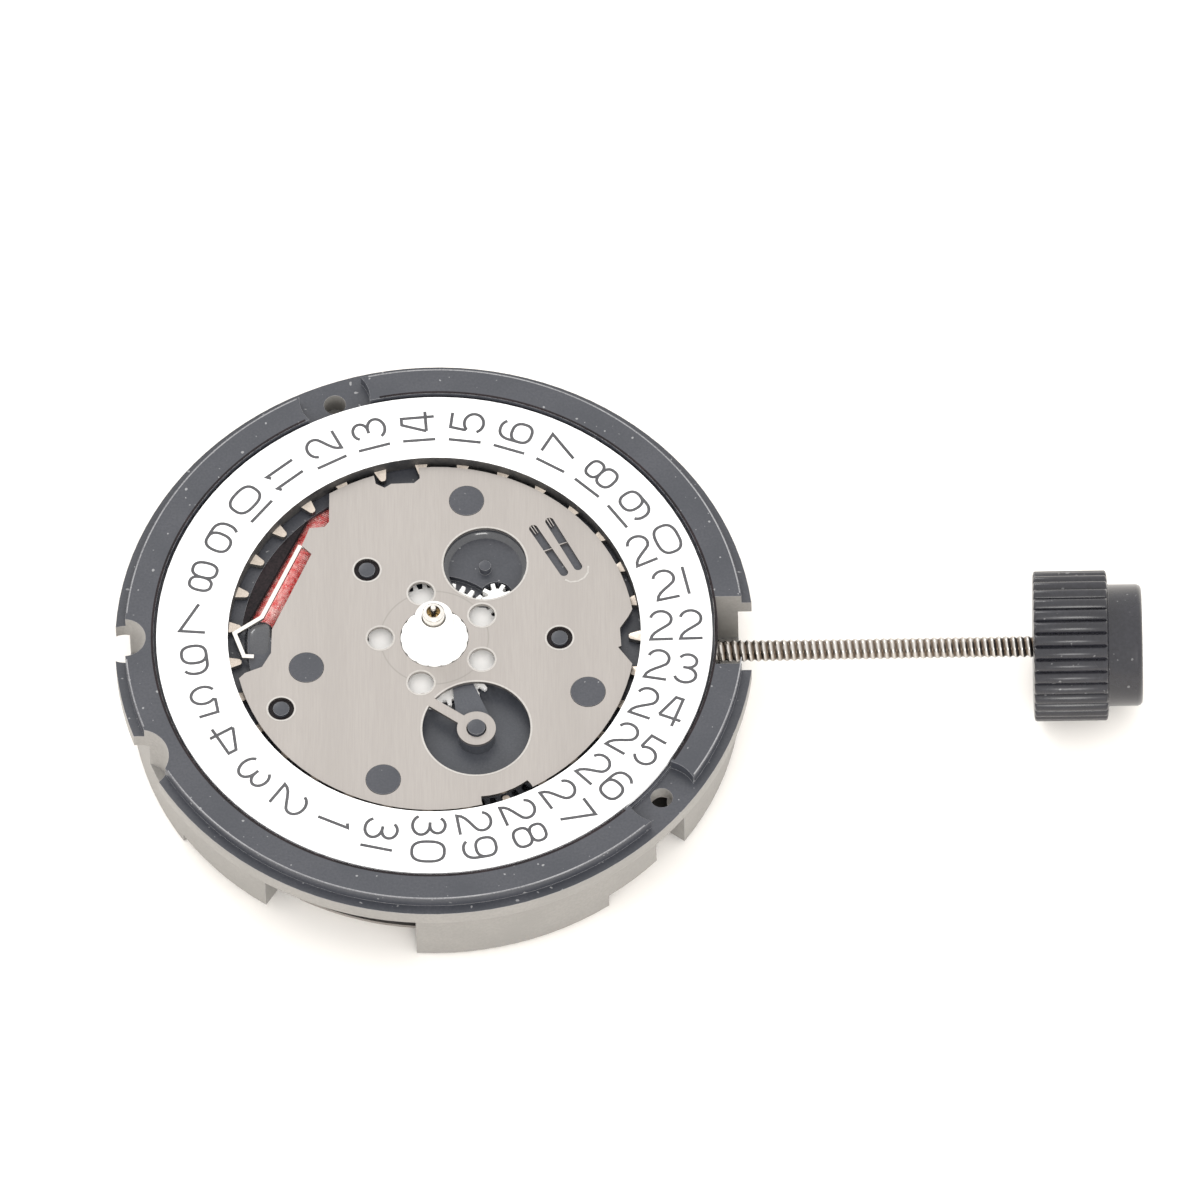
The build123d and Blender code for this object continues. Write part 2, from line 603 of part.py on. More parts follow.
def plate_posts():
    """Return the posts of the main plate: stakes and pins for the guard, and the wheels' posts."""
    top = GUARD_TOP_Z + STAKE_RISE_H
    posts = []
    for place in sized(STAKE_SHARES, GUARD_R):
        posts.append(disc(STAKE_R, GUARD_UNDER_Z - FLOOR_GAP, top, place))
    for place in sized(PIN_SHARES, GUARD_R):
        posts.append(disc(PIN_R, GUARD_UNDER_Z - FLOOR_GAP, top, place))
    posts.append(disc(DATE_PIN_R, DATE_FLOOR_Z - FLOOR_GAP, DATE_PIN_TOP_Z, DATE_AT))
    posts.append(disc(CORRECTOR_PIN_R, COLLAR_FLOOR_Z - FLOOR_GAP, GUARD_UNDER_Z, (CORRECTOR_X, 0.0)))
    posts.append(disc(POST_R, HOUR_TOP_Z - FLOOR_GAP, GUARD_UNDER_Z, (UPPER_HOLE_X, UPPER_HOLE_Y)))
    posts.append(disc(POST_R, MOTION_UNDER_Z - FLOOR_GAP, DECK_UNDER_Z + FLOOR_GAP, SETTING_AT))
    return posts


def plate_pillars():
    """Return the pillars that hang from the deck, each bored for its screw."""
    pillars = []
    for place in BRIDGE_PILLARS:
        pillars.append(tube(PILLAR_R, SCREW_R + SCREW_GAP, BRIDGE_TOP_Z, DECK_UNDER_Z, place))
    for place in COVER_PILLARS:
        pillars.append(tube(PILLAR_R, SCREW_R + SCREW_GAP, COVER_TOP_Z, DECK_UNDER_Z, place))
    for along in (LUG_NEAR, LUG_UPPER_LENGTH):
        place = coil_point(along, 0.0)
        pillars.append(tube(LUG_R * HALF + SCREW_R * HALF, SCREW_R + SCREW_GAP, CORE_TOP_Z,
                            DECK_UNDER_Z, place))
    for place in lever_pivots():
        pillars.append(disc(LEVER_PIVOT_R, LEVER_UNDER_Z - FLOOR_GAP, DECK_UNDER_Z, place))
    pillars.append(disc(LEVER_PIVOT_R, FIFTH_UNDER_Z - FLOOR_GAP, DECK_UNDER_Z,
                        (RESET_PIVOT_X, RESET_PIVOT_Y)))
    return pillars


def lever_pivots():
    """Return the places of the posts that the setting lever and the yoke turn on."""
    return [(SETTING_PIVOT_X, SETTING_PIVOT_Y), (YOKE_PIVOT_X, YOKE_PIVOT_Y)]


def main_plate():
    """Return the moulded plate that carries everything else."""
    plate = plate_blank() - dial_side_pockets() - coil_bay() - shaft_holes()
    plate = plate - wall_cuts() - disc(BATTERY_R + POCKET_GAP, BACK_Z - OVERRUN, DECK_UNDER_Z, BATTERY_AT)
    plate = plate + battery_wall() + keyless_block()
    plate = plate - keyless_cuts() - rim_cuts()
    return plate + plate_posts() + plate_pillars()


def guard_outline():
    """Return the guard's sheet, with its holes, slots and edge notches."""
    sheet = Circle(GUARD_R) - Circle(HAND_HOLE_R)
    for index in range(LIGHT_HOLE_COUNT):
        angle = LIGHT_HOLE_PHASE + index * LIGHT_HOLE_STEP
        sheet -= Pos(*polar(LIGHT_HOLE_RING_R, angle)) * Circle(LIGHT_HOLE_R)
    sheet -= Pos(UPPER_HOLE_X, UPPER_HOLE_Y) * Circle(UPPER_HOLE_R)
    for place in sized(STAKE_SHARES, GUARD_R):
        sheet -= Pos(*place) * Circle(STAKE_R + STAKE_GAP)
    for place in sized(PIN_SHARES, GUARD_R):
        sheet -= Pos(*place) * Circle(PIN_HOLE_R)
    for start, end in COIN_SLOT_SHARES:
        ends = sized((start, end), GUARD_R)
        sheet -= link(ends[0], COIN_SLOT_WIDTH * HALF, ends[1], COIN_SLOT_WIDTH * HALF)
    for shares in (RIGHT_NOTCH_SHARES, TOP_NOTCH_SHARES, COIL_WINDOW_SHARES):
        sheet -= polygon(sized(shares, GUARD_R))
    finger_window = Pos(*DATE_AT) * (Circle(DATE_POCKET_R) - Circle(FINGER_R - FINGER_WIDTH * HALF))
    far_side = Pos(*polar(GUARD_R, DATE_ANGLE)) * Circle(LIGHT_HOLE_RING_R * HALF)
    return sheet - (finger_window & far_side)


def eyelet_outline():
    """Return the eyelet that carries the date driving wheel's pin, with its arm."""
    root = polar(LOWER_HOLE_R + EYELET_ARM_WIDTH, 145.0, DATE_AT)
    arm = link(DATE_AT, EYELET_ARM_WIDTH * HALF, root, EYELET_ARM_WIDTH * HALF)
    return Pos(*DATE_AT) * Circle(EYELET_R) + arm - Pos(*DATE_AT) * Circle(EYELET_BORE_R)


def date_dial_guard():
    """Return the guard, the bright sheet that holds the date ring down."""
    sheet = guard_outline() - Pos(*DATE_AT) * Circle(LOWER_HOLE_R) + eyelet_outline()
    return slab(sheet, GUARD_UNDER_Z, GUARD_TOP_Z)


def date_jumper():
    """Return the spring arm beside the coil, with the tab that drops between the ring's teeth."""
    spine = Polyline(*sized(JUMPER_SHARES, GUARD_R))
    arm = trace(spine, line_width=JUMPER_WIDTH) + polygon(
        sized(JUMPER_ROOT_SHARES, GUARD_R) + sized(JUMPER_SHARES, GUARD_R)[:1])
    arm = arm - guard_outline()
    tab = trace(Polyline(*sized(JUMPER_TAB_SHARES, GUARD_R)), line_width=JUMPER_TAB_WIDTH)
    return slab(arm, GUARD_UNDER_Z, GUARD_TOP_Z) + slab(tab, TOOTH_UNDER_Z, GUARD_UNDER_Z)


def ring_tooth(angle):
    """Return one inner tooth of the date ring, narrower at its tip, whose corners are cut off."""
    half_tip = TOOTH_TIP_WIDTH * HALF
    half_root = TOOTH_ROOT_WIDTH * HALF
    shoulder = TOOTH_TIP_R + half_tip * HALF
    root = RING_INNER_R + COLLAR_T * HALF
    points = [
        (root, -half_root), (shoulder, -half_tip), (TOOTH_TIP_R, -half_tip * HALF),
        (TOOTH_TIP_R, half_tip * HALF), (shoulder, half_tip), (root, half_root),
    ]
    return Rot(0, 0, angle) * polygon(points)


def date_ring():
    """Return the white ring that the dates are printed on, with its collar and its inner teeth."""
    ring = tube(RING_OUTER_R, RING_INNER_R, RING_UNDER_Z, RING_TOP_Z)
    ring += tube(COLLAR_OUTER_R, RING_INNER_R, TOOTH_UNDER_Z, RING_UNDER_Z)
    teeth = Sketch() + [ring_tooth(RING_PHASE + 360 / RING_TEETH * index) for index in range(RING_TEETH)]
    return ring + slab(teeth, TOOTH_UNDER_Z, TOOTH_TOP_Z)


def hour_wheel():
    """Return the hour wheel: toothed disc, date pinion, collar and the pipe for the hour hand."""
    bore = PIPE_R + PIPE_GAP
    disc_part = slab(toothed(HOUR_TEETH, HOUR_MODULE, HOUR_PHASE), HOUR_UNDER_Z, HOUR_TOP_Z)
    pinion = slab(leaves(DATE_PINION_TEETH, DATE_MODULE, DATE_ANGLE), DATE_PINION_UNDER_Z, HOUR_UNDER_Z)
    boss = disc(HOUR_BOSS_R, HOUR_TOP_Z, GUARD_UNDER_Z)
    collar_module = HOUR_COLLAR_R / (HOUR_COLLAR_TEETH * HALF + ADDENDUM_SHARE)
    collar = slab(toothed(HOUR_COLLAR_TEETH, collar_module, 0.0), GUARD_UNDER_Z,
                  GUARD_UNDER_Z + HOUR_COLLAR_T)
    cone_foot = GUARD_UNDER_Z + HOUR_COLLAR_T
    cone = taper(HOUR_PIPE_ROOT_R, HOUR_PIPE_R, cone_foot, HOUR_PIPE_TOP_Z * HALF)
    pipe = disc(HOUR_PIPE_R, HOUR_PIPE_TOP_Z * HALF, HOUR_PIPE_TOP_Z)
    return disc_part + pinion + boss + collar + cone + pipe - disc(bore, DATE_PINION_UNDER_Z, HOUR_PIPE_TOP_Z)


def minute_wheel():
    """Return the minute wheel under the deck, with its pinion up through it."""
    wheel = slab(toothed(MINUTE_TEETH, MOTION_MODULE, MINUTE_PHASE, MINUTE_AT), MOTION_UNDER_Z, MOTION_TOP_Z)
    pinion = slab(leaves(MINUTE_LEAVES, HOUR_MODULE, MINUTE_LEAF_PHASE, MINUTE_AT), MOTION_TOP_Z,
                  HOUR_TOP_Z + PINION_RISE_H)
    return wheel + pinion - disc(POST_R + POST_GAP, MOTION_UNDER_Z, HOUR_UNDER_Z + FLOOR_GAP, MINUTE_AT)


def cannon_pinion():
    """Return the cannon pinion, whose long pipe carries the minute hand."""
    wheel = slab(leaves(CANNON_TEETH, MOTION_MODULE, CANNON_PHASE), MOTION_UNDER_Z, MOTION_TOP_Z)
    seat_z = PIPE_TOP_Z - MINUTE_SEAT_H
    pipe = disc(PIPE_R, MOTION_TOP_Z, seat_z - PIPE_TAPER_H)
    pipe += taper(PIPE_R, MINUTE_SEAT_R, seat_z - PIPE_TAPER_H, seat_z)
    seat = disc(MINUTE_SEAT_R, seat_z, PIPE_TOP_Z)
    seat = chamfer(seat.edges().group_by(Axis.Z)[-1], PIPE_CHAMFER)
    return wheel + pipe + seat - disc(PIPE_BORE_R, MOTION_UNDER_Z, PIPE_TOP_Z)


def setting_wheel():
    """Return the setting wheel between the clutch and the minute wheel."""
    wheel = slab(leaves(CANNON_TEETH, MOTION_MODULE, SETTING_PHASE, SETTING_AT), MOTION_UNDER_Z, MOTION_TOP_Z)
    return wheel - disc(POST_R + POST_GAP, MOTION_UNDER_Z, MOTION_TOP_Z, SETTING_AT)


def date_driving_wheel():
    """Return the wheel that turns once a day and pushes the ring with its finger."""
    wheel = slab(toothed(DATE_WHEEL_TEETH, DATE_MODULE, DATE_PHASE, DATE_AT), DATE_WHEEL_UNDER_Z,
                 DATE_WHEEL_TOP_Z)
    hub_top = GUARD_UNDER_Z - RUN_GAP
    tip = polar(FINGER_R - FINGER_WIDTH * HALF, FINGER_ANGLE, DATE_AT)
    finger = slab(link(DATE_AT, DATE_HUB_R, tip, FINGER_WIDTH * HALF), TOOTH_UNDER_Z, TOOTH_TOP_Z)
    hub = disc(DATE_HUB_R, DATE_WHEEL_TOP_Z, hub_top, DATE_AT)
    bore = disc(DATE_PIN_R + POST_GAP, DATE_WHEEL_UNDER_Z, hub_top, DATE_AT)
    return wheel + hub + finger - bore


def date_corrector_wheel():
    """Return the small star that the stem turns to set the date."""
    points = []
    for index in range(CORRECTOR_POINTS * 2):
        radius = CORRECTOR_R if index % 2 == 0 else CORRECTOR_R * CORRECTOR_ROOT_SHARE
        angle = 180 / CORRECTOR_POINTS * index + 180 / CORRECTOR_POINTS
        points.append(polar(radius, angle, (CORRECTOR_X, 0.0)))
    low = COLLAR_FLOOR_Z + RUN_GAP * HALF
    star = slab(polygon(points), low, TOOTH_TOP_Z)
    return star - disc(CORRECTOR_PIN_R + POST_GAP, low, TOOTH_TOP_Z, (CORRECTOR_X, 0.0))


def centre_wheel():
    """Return the centre wheel and the sleeve that the cannon pinion grips."""
    wheel = slab(toothed(CENTRE_TEETH, CENTRE_MODULE, CENTRE_PHASE), CENTRE_UNDER_Z, CENTRE_TOP_Z)
    sleeve = disc(SLEEVE_R, CENTRE_TOP_Z, SLEEVE_TOP_Z)
    return wheel + sleeve - disc(SLEEVE_BORE_R, CENTRE_UNDER_Z, SLEEVE_TOP_Z)


def second_wheel():
    """Return the second wheel on the long arbor that carries the seconds hand."""
    wheel = slab(toothed(SECOND_TEETH, SECOND_MODULE, FIFTH_ANGLE), SECOND_UNDER_Z, SECOND_TOP_Z)
    pinion = slab(leaves(LEAVES, THIRD_MODULE, THIRD_ANGLE), SECOND_TOP_Z, THIRD_TOP_Z)
    seat_z = ARBOR_TOP_Z - SECONDS_SEAT_H
    arbor = disc(ARBOR_R, BRIDGE_TOP_Z - PIVOT_DEPTH, seat_z - ARBOR_TAPER_H)
    arbor += taper(ARBOR_R, SECONDS_SEAT_R, seat_z - ARBOR_TAPER_H, seat_z)
    return wheel + pinion + arbor + disc(SECONDS_SEAT_R, seat_z, ARBOR_TOP_Z)


def third_wheel():
    """Return the third wheel and its pinion."""
    wheel = slab(toothed(THIRD_TEETH, THIRD_MODULE, THIRD_PHASE, THIRD_AT), THIRD_UNDER_Z, THIRD_TOP_Z)
    pinion_top = CENTRE_TOP_Z + RUN_GAP
    pinion = slab(leaves(LEAVES, CENTRE_MODULE, THIRD_ANGLE, THIRD_AT), THIRD_TOP_Z, pinion_top)
    arbor = disc(ARBOR_R, BRIDGE_TOP_Z - PIVOT_DEPTH, DECK_UNDER_Z - RUN_GAP, THIRD_AT)
    return wheel + pinion + arbor


def fifth_wheel():
    """Return the fifth wheel and its pinion."""
    wheel = slab(toothed(FIFTH_TEETH, FIFTH_MODULE, ROTOR_ANGLE, FIFTH_AT), FIFTH_UNDER_Z, FIFTH_TOP_Z)
    pinion = slab(leaves(FIFTH_LEAVES, SECOND_MODULE, FIFTH_LEAF_PHASE, FIFTH_AT), FIFTH_TOP_Z,
                  SECOND_TOP_Z + RUN_GAP)
    arbor = disc(ARBOR_R, BRIDGE_TOP_Z - PIVOT_DEPTH, DECK_UNDER_Z - RUN_GAP, FIFTH_AT)
    return wheel + pinion + arbor


def magnet_heights():
    """Return the lower and upper face of the rotor's magnet, centred on the stator."""
    middle = (STATOR_TOP_Z + STATOR_UNDER_Z) * HALF
    return middle - MAGNET_T * HALF, middle + MAGNET_T * HALF


def rotor():
    """Return the rotor's staff and pinion."""
    low, high = magnet_heights()
    pinion = slab(leaves(LEAVES, FIFTH_MODULE, ROTOR_PHASE, ROTOR_AT), FIFTH_UNDER_Z - RUN_GAP, low)
    staff = disc(ARBOR_R, BRIDGE_TOP_Z - PIVOT_DEPTH, DECK_UNDER_Z - RUN_GAP, ROTOR_AT)
    return pinion + staff


def rotor_magnet():
    """Return the magnet on the rotor's staff."""
    low, high = magnet_heights()
    return tube(MAGNET_R, ARBOR_R, low, high, ROTOR_AT)


def stator():
    """Return the stator: a flat bar with the rotor's hole, and a leg to each end of the core."""
    offset = ROTOR_AT[0] * math.cos(math.radians(COIL_ANGLE)) + ROTOR_AT[1] * math.sin(math.radians(COIL_ANGLE))
    across = COIL_FOOT_R - offset
    near = coil_box(LUG_NEAR - LUG_R, LUG_NEAR + LUG_R, -LUG_R, across)
    far = coil_box(LUG_UPPER_LENGTH - LUG_R, LUG_UPPER_LENGTH + LUG_R, -LUG_R, across)
    bar = coil_box(LUG_NEAR - LUG_R, LUG_UPPER_LENGTH + LUG_R, across - STATOR_WIDTH * HALF, across + STATOR_WIDTH * HALF)
    plan = near + far + bar + Pos(*ROTOR_AT) * Circle(STATOR_HOLE_R + STATOR_WIDTH * HALF * HALF)
    plan -= Pos(*ROTOR_AT) * Circle(STATOR_HOLE_R)
    for along in (LUG_NEAR, LUG_UPPER_LENGTH):
        plan -= Pos(*coil_point(along, 0.0)) * Circle(SCREW_R + SCREW_GAP)
    return slab(plan, STATOR_UNDER_Z, STATOR_TOP_Z)


def coil_core():
    """Return the flat core that the coil is wound on, with a lug at each end."""
    ends = (coil_point(LUG_NEAR, 0.0), coil_point(LUG_UPPER_LENGTH, 0.0))
    plan = coil_box(LUG_NEAR, LUG_UPPER_LENGTH, -CORE_WIDTH * HALF, CORE_WIDTH * HALF)
    plan += [Pos(*end) * Circle(LUG_R) for end in ends]
    plan -= [Pos(*end) * Circle(SCREW_R + SCREW_GAP) for end in ends]
    return slab(plan, STATOR_TOP_Z, CORE_TOP_Z)


def core_slot(start, end):
    """Return the flat space that the core fills inside what is threaded on it."""
    return slab(coil_box(start, end, -CORE_WIDTH * HALF, CORE_WIDTH * HALF), STATOR_TOP_Z, CORE_TOP_Z)


def coil_bobbin():
    """Return the two cheeks that keep the winding on the core."""
    near = along_coil(CHEEK_R, COIL_NEAR - CHEEK_T, COIL_NEAR) - core_slot(COIL_NEAR - CHEEK_T, COIL_NEAR)
    far = along_coil(CHEEK_R, COIL_UPPER_LENGTH, COIL_UPPER_LENGTH + CHEEK_T) - core_slot(COIL_UPPER_LENGTH, COIL_UPPER_LENGTH + CHEEK_T)
    return Compound(children=[near, far])


def coil_winding():
    """Return the wound wire as one body; its wire is far too fine to show by turns."""
    return along_coil(COIL_R, COIL_NEAR, COIL_UPPER_LENGTH) - core_slot(COIL_NEAR, COIL_UPPER_LENGTH)


def coil_lead_board():
    """Return the small board on the coil's near lug, where the wire's ends are joined."""
    side = CORE_WIDTH * HALF
    plan = coil_box(LUG_NEAR - LUG_R, LUG_NEAR + LUG_R, -side, side)
    plan -= Pos(*coil_point(LUG_NEAR, 0.0)) * Circle(LUG_R * HALF + SCREW_R * HALF + SCREW_GAP)
    return slab(plan, CORE_TOP_Z, CORE_TOP_Z + LEAD_BOARD_T)


def screw(place, seat, depth):
    """Return a slotted screw whose head seats at a height, and whose thread reaches a depth above."""
    head = disc(SCREW_HEAD_R, seat - SCREW_HEAD_T, seat, place)
    slot = Pos(place[0], place[1], seat - SCREW_HEAD_T) * Box(
        SCREW_HEAD_R * 2 + OVERRUN, SCREW_SLOT_WIDTH, SCREW_HEAD_T,
        align=(Align.CENTER, Align.CENTER, Align.CENTER))
    return head - slot + disc(SCREW_R, seat, seat + depth, place)


def coil_screws():
    """Return the two screws that clamp the stator and the core to the plate."""
    depth = DECK_UNDER_Z - STATOR_UNDER_Z - RUN_GAP
    places = [coil_point(along, 0.0) for along in (LUG_NEAR, LUG_UPPER_LENGTH)]
    return Compound(children=[screw(place, STATOR_UNDER_Z, depth) for place in places])


def train_bridge():
    """Return the bridge under the train, with its three ears and the minute wheel's post."""
    plan = Circle(PILLAR_R)
    for place in (*BRIDGE_PILLARS, THIRD_AT, ROTOR_AT, MINUTE_AT):
        plan += link(HUB, PILLAR_R, place, PILLAR_R)
    plan += link(ROTOR_AT, PILLAR_R, FIFTH_AT, PILLAR_R) + link(THIRD_AT, PILLAR_R, ROTOR_AT, PILLAR_R)
    for place in BRIDGE_PILLARS:
        plan -= Pos(*place) * Circle(SCREW_R + SCREW_GAP)
    bridge = slab(plan, BRIDGE_UNDER_Z, BRIDGE_TOP_Z)
    for place in (HUB, THIRD_AT, FIFTH_AT, ROTOR_AT):
        bridge -= disc(ARBOR_R + POST_GAP, BRIDGE_TOP_Z - PIVOT_DEPTH - RUN_GAP, BRIDGE_TOP_Z, place)
    return bridge + disc(POST_R, BRIDGE_TOP_Z, HOUR_UNDER_Z, MINUTE_AT)


def bridge_screws():
    """Return the three screws of the train bridge."""
    return Compound(children=[screw(place, BRIDGE_UNDER_Z, BRIDGE_T + SCREW_DEPTH) for place in BRIDGE_PILLARS])


def battery():
    """Return the button cell: its can, and the smaller cap that faces the deck."""
    can = disc(BATTERY_R, BATTERY_UNDER_Z, BATTERY_TOP_Z - BATTERY_CAP_H, BATTERY_AT)
    can = chamfer(can.edges().group_by(Axis.Z)[0], BATTERY_CAP_H)
    return can + disc(BATTERY_CAP_R, BATTERY_TOP_Z - BATTERY_CAP_H, BATTERY_TOP_Z, BATTERY_AT)


def battery_minus_contact():
    """Return the spring sheet between the cell's cap and the deck."""
    pad = Pos(*BATTERY_AT) * Circle(BATTERY_CAP_R * HALF)
    tail_end = polar(BATTERY_R, 60.0, BATTERY_AT)
    strip = pad + link(BATTERY_AT, PILLAR_R, tail_end, PILLAR_R)
    pocket = Pos(*BATTERY_AT) * Circle(BATTERY_R + POCKET_GAP * HALF)
    return slab(strip & pocket, BATTERY_TOP_Z, DECK_UNDER_Z)


def board_screw_holes():
    """Return the clearance holes that the board and the cover share."""
    holes = [Pos(*place) * Circle(SCREW_HEAD_R + WHEEL_GAP) for place in BRIDGE_PILLARS]
    return holes + [Pos(*place) * Circle(PILLAR_R + WHEEL_GAP) for place in COVER_PILLARS]


def circuit_board():
    """Return the circuit board, cut away round the cell, the pillars and the stem's levers."""
    plan = Circle(BOARD_R) - Pos(*BATTERY_AT) * Circle(BATTERY_R + POCKET_GAP + POCKET_WALL_T * 2)
    below = Pos(0.0, -BOARD_R) * Rectangle(BOARD_R * 2, BOARD_R * 2)
    plan = plan - below - board_screw_holes()
    return slab(plan, BOARD_UNDER_Z, BRIDGE_UNDER_Z)


def ic_module():
    """Return the clock chip under its drop of resin."""
    return Pos(*CHIP_AT, BRIDGE_UNDER_Z) * Box(CHIP_WIDTH, CHIP_WIDTH, CHIP_T, align=STANDING)


def quartz_crystal():
    """Return the crystal's can, lying on the board."""
    lying = Rot(0, 90, 0) * Cylinder(CRYSTAL_R, CRYSTAL_LENGTH, align=STANDING)
    return Pos(*CRYSTAL_AT, BRIDGE_UNDER_Z + CRYSTAL_R + RUN_GAP * HALF) * lying


def circuit_cover():
    """Return the metal cover on the back, cut away round the cell."""
    plan = Circle(COVER_R) - Pos(*BATTERY_AT) * Circle(BATTERY_R + POCKET_GAP + POCKET_WALL_T * 2)
    plan -= [Pos(*place) * Circle(SCREW_R + SCREW_GAP) for place in COVER_PILLARS]
    below = Pos(-BOARD_R, -BOARD_R) * Rectangle(BOARD_R, BOARD_R)
    return slab(plan - below, COVER_UNDER_Z, COVER_TOP_Z)


def cover_screws():
    """Return the screws of the back cover."""
    return Compound(children=[screw(place, COVER_UNDER_Z, COVER_T + SCREW_DEPTH) for place in COVER_PILLARS])


def battery_plus_clamp():
    """Return the strap over the cell's can, which is the plus contact."""
    near = polar(BATTERY_R + POCKET_WALL_T * HALF + POCKET_GAP, 150.0, BATTERY_AT)
    far = polar(BATTERY_R + POCKET_WALL_T * HALF + POCKET_GAP, 20.0, BATTERY_AT)
    plan = link(near, CLAMP_WIDTH * HALF * HALF, BATTERY_AT, CLAMP_WIDTH * HALF)
    plan += link(BATTERY_AT, CLAMP_WIDTH * HALF, far, CLAMP_WIDTH * HALF * HALF)
    return slab(plan, CLAMP_UNDER_Z, BATTERY_UNDER_Z)


def winding_stem():
    """Return the stem: its square, the lever's groove, the plain bearing and the long thread."""
    square = Pos(SQUARE_START_X, 0, STEM_Z) * Box(
        SHOULDER_X - SQUARE_START_X, SQUARE_WIDTH, SQUARE_WIDTH,
        align=(Align.MIN, Align.CENTER, Align.CENTER))
    bearing = along_stem(STEM_R, SHOULDER_X, THREAD_START_X)
    groove = along_stem(STEM_R, GROOVE_X, GROOVE_X + GROOVE_WIDTH)
    groove -= along_stem(GROOVE_R, GROOVE_X, GROOVE_X + GROOVE_WIDTH)
    thread = along_stem(THREAD_R, THREAD_START_X, CROWN_X + CROWN_BORE_DEPTH)
    return square + bearing + thread - groove


def test_crown():
    """Return the test crown: a ribbed drum and a plain step, bored for the stem's thread."""
    pitch = 360 / CROWN_RIDGES
    root_r = CROWN_R - CROWN_RIDGE_H
    points = []
    for index in range(CROWN_RIDGES):
        middle = index * pitch
        points.append(polar(root_r, middle - pitch * ROOT_SHARE * HALF))
        points.append(polar(CROWN_R, middle - pitch * TIP_SHARE))
        points.append(polar(CROWN_R, middle + pitch * TIP_SHARE))
        points.append(polar(root_r, middle + pitch * ROOT_SHARE * HALF))
    drum = extrude(polygon(points), amount=CROWN_KNURL_LENGTH, dir=UP)
    step = disc(CROWN_STEP_R, CROWN_KNURL_LENGTH, CROWN_LENGTH)
    step = chamfer(step.edges().group_by(Axis.Z)[-1], CROWN_RIDGE_H)
    crown = drum + step - disc(THREAD_R, 0.0, CROWN_BORE_DEPTH)
    return Pos(CROWN_X, 0, STEM_Z) * (Rot(0, 90, 0) * crown)


def clutch_wheel():
    """Return the clutch, which slides on the stem's square and is held by the yoke in its neck."""
    end = SQUARE_START_X + CLUTCH_LENGTH
    body = along_stem(CLUTCH_NECK_R, SQUARE_START_X, end)
    body += along_stem(CLUTCH_R, SQUARE_START_X, SQUARE_START_X + CLUTCH_FLANGE_T)
    body += along_stem(CLUTCH_R, end - CLUTCH_COLLAR_T, end)
    side = SQUARE_WIDTH + SCREW_GAP
    hole = Pos(SQUARE_START_X, 0, STEM_Z) * Box(
        CLUTCH_LENGTH, side, side, align=(Align.MIN, Align.CENTER, Align.CENTER))
    return body - hole


def lever(pivot, tip, pin_top):
    """Return a flat lever on a post, with a pin at its tip."""
    arm = slab(link(pivot, LEVER_BOSS_R, tip, LEVER_NOSE_R), LEVER_UNDER_Z, LEVER_TOP_Z)
    arm += disc(LEVER_PIN_R, LEVER_TOP_Z, pin_top, tip)
    return arm - disc(LEVER_PIVOT_R + POST_GAP, LEVER_UNDER_Z, LEVER_TOP_Z, pivot)


def setting_lever():
    """Return the lever whose pin lies in the stem's groove."""
    tip = (GROOVE_X + GROOVE_WIDTH * HALF, 0.0)
    return lever((SETTING_PIVOT_X, SETTING_PIVOT_Y), tip, STEM_Z - GROOVE_R - RUN_GAP)


def yoke():
    """Return the yoke whose pin lies in the clutch's neck."""
    return lever((YOKE_PIVOT_X, YOKE_PIVOT_Y), (YOKE_PIN_X, 0.0), STEM_Z - CLUTCH_NECK_R - RUN_GAP)


def reset_tip():
    """Return where the reset lever's tip rests, clear of the fifth wheel that it stops."""
    stopped = polar(FIFTH_TIP_R + RESET_STOP_GAP + LEVER_NOSE_R, RESET_CONTACT_ANGLE, FIFTH_AT)
    across = stopped[0] - RESET_PIVOT_X
    along = stopped[1] - RESET_PIVOT_Y
    angle = math.degrees(math.atan2(along, across)) - RESET_TURN
    return polar(math.hypot(across, along), angle, (RESET_PIVOT_X, RESET_PIVOT_Y))


def reset_lever():
    """Return the lever that stops the fifth wheel while the stem is out."""
    pivot = (RESET_PIVOT_X, RESET_PIVOT_Y)
    arm = slab(link(pivot, LEVER_BOSS_R, reset_tip(), LEVER_NOSE_R), FIFTH_UNDER_Z, FIFTH_TOP_Z)
    return arm - disc(LEVER_PIVOT_R + POST_GAP, FIFTH_UNDER_Z, FIFTH_TOP_Z, pivot)


PIECES = (
    main_plate, date_dial_guard, date_jumper, date_ring, date_driving_wheel, date_corrector_wheel,
    hour_wheel, minute_wheel, cannon_pinion, setting_wheel, centre_wheel, second_wheel, third_wheel,
    fifth_wheel, rotor, rotor_magnet, stator, coil_core, coil_bobbin, coil_winding, coil_lead_board,
    coil_screws, train_bridge, bridge_screws, battery, battery_minus_contact, battery_plus_clamp,
    circuit_board, ic_module, quartz_crystal, circuit_cover, cover_screws, winding_stem, test_crown,
    clutch_wheel, setting_lever, yoke, reset_lever,
)


def main():
    """Write each piece to its own file."""
    os.makedirs("parts", exist_ok=True)
    for piece in PIECES:
        export_step(piece(), os.path.join("parts", piece.__name__ + ".step"))


if __name__ == "__main__":
    main()
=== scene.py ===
"""A quartz watch movement with a date ring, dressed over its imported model.

Lengths are millimetres until a mesh is made, and metres in Blender. The hands turn about Z, the
dial sits on z = 0, and the stem with its test crown lies along X.
"""

import json
import logging
import math
from collections.abc import Iterator
from contextlib import contextmanager
from dataclasses import dataclass, field
from enum import Enum

import bmesh
import bpy
import numpy as np
from mathutils import Matrix, Vector

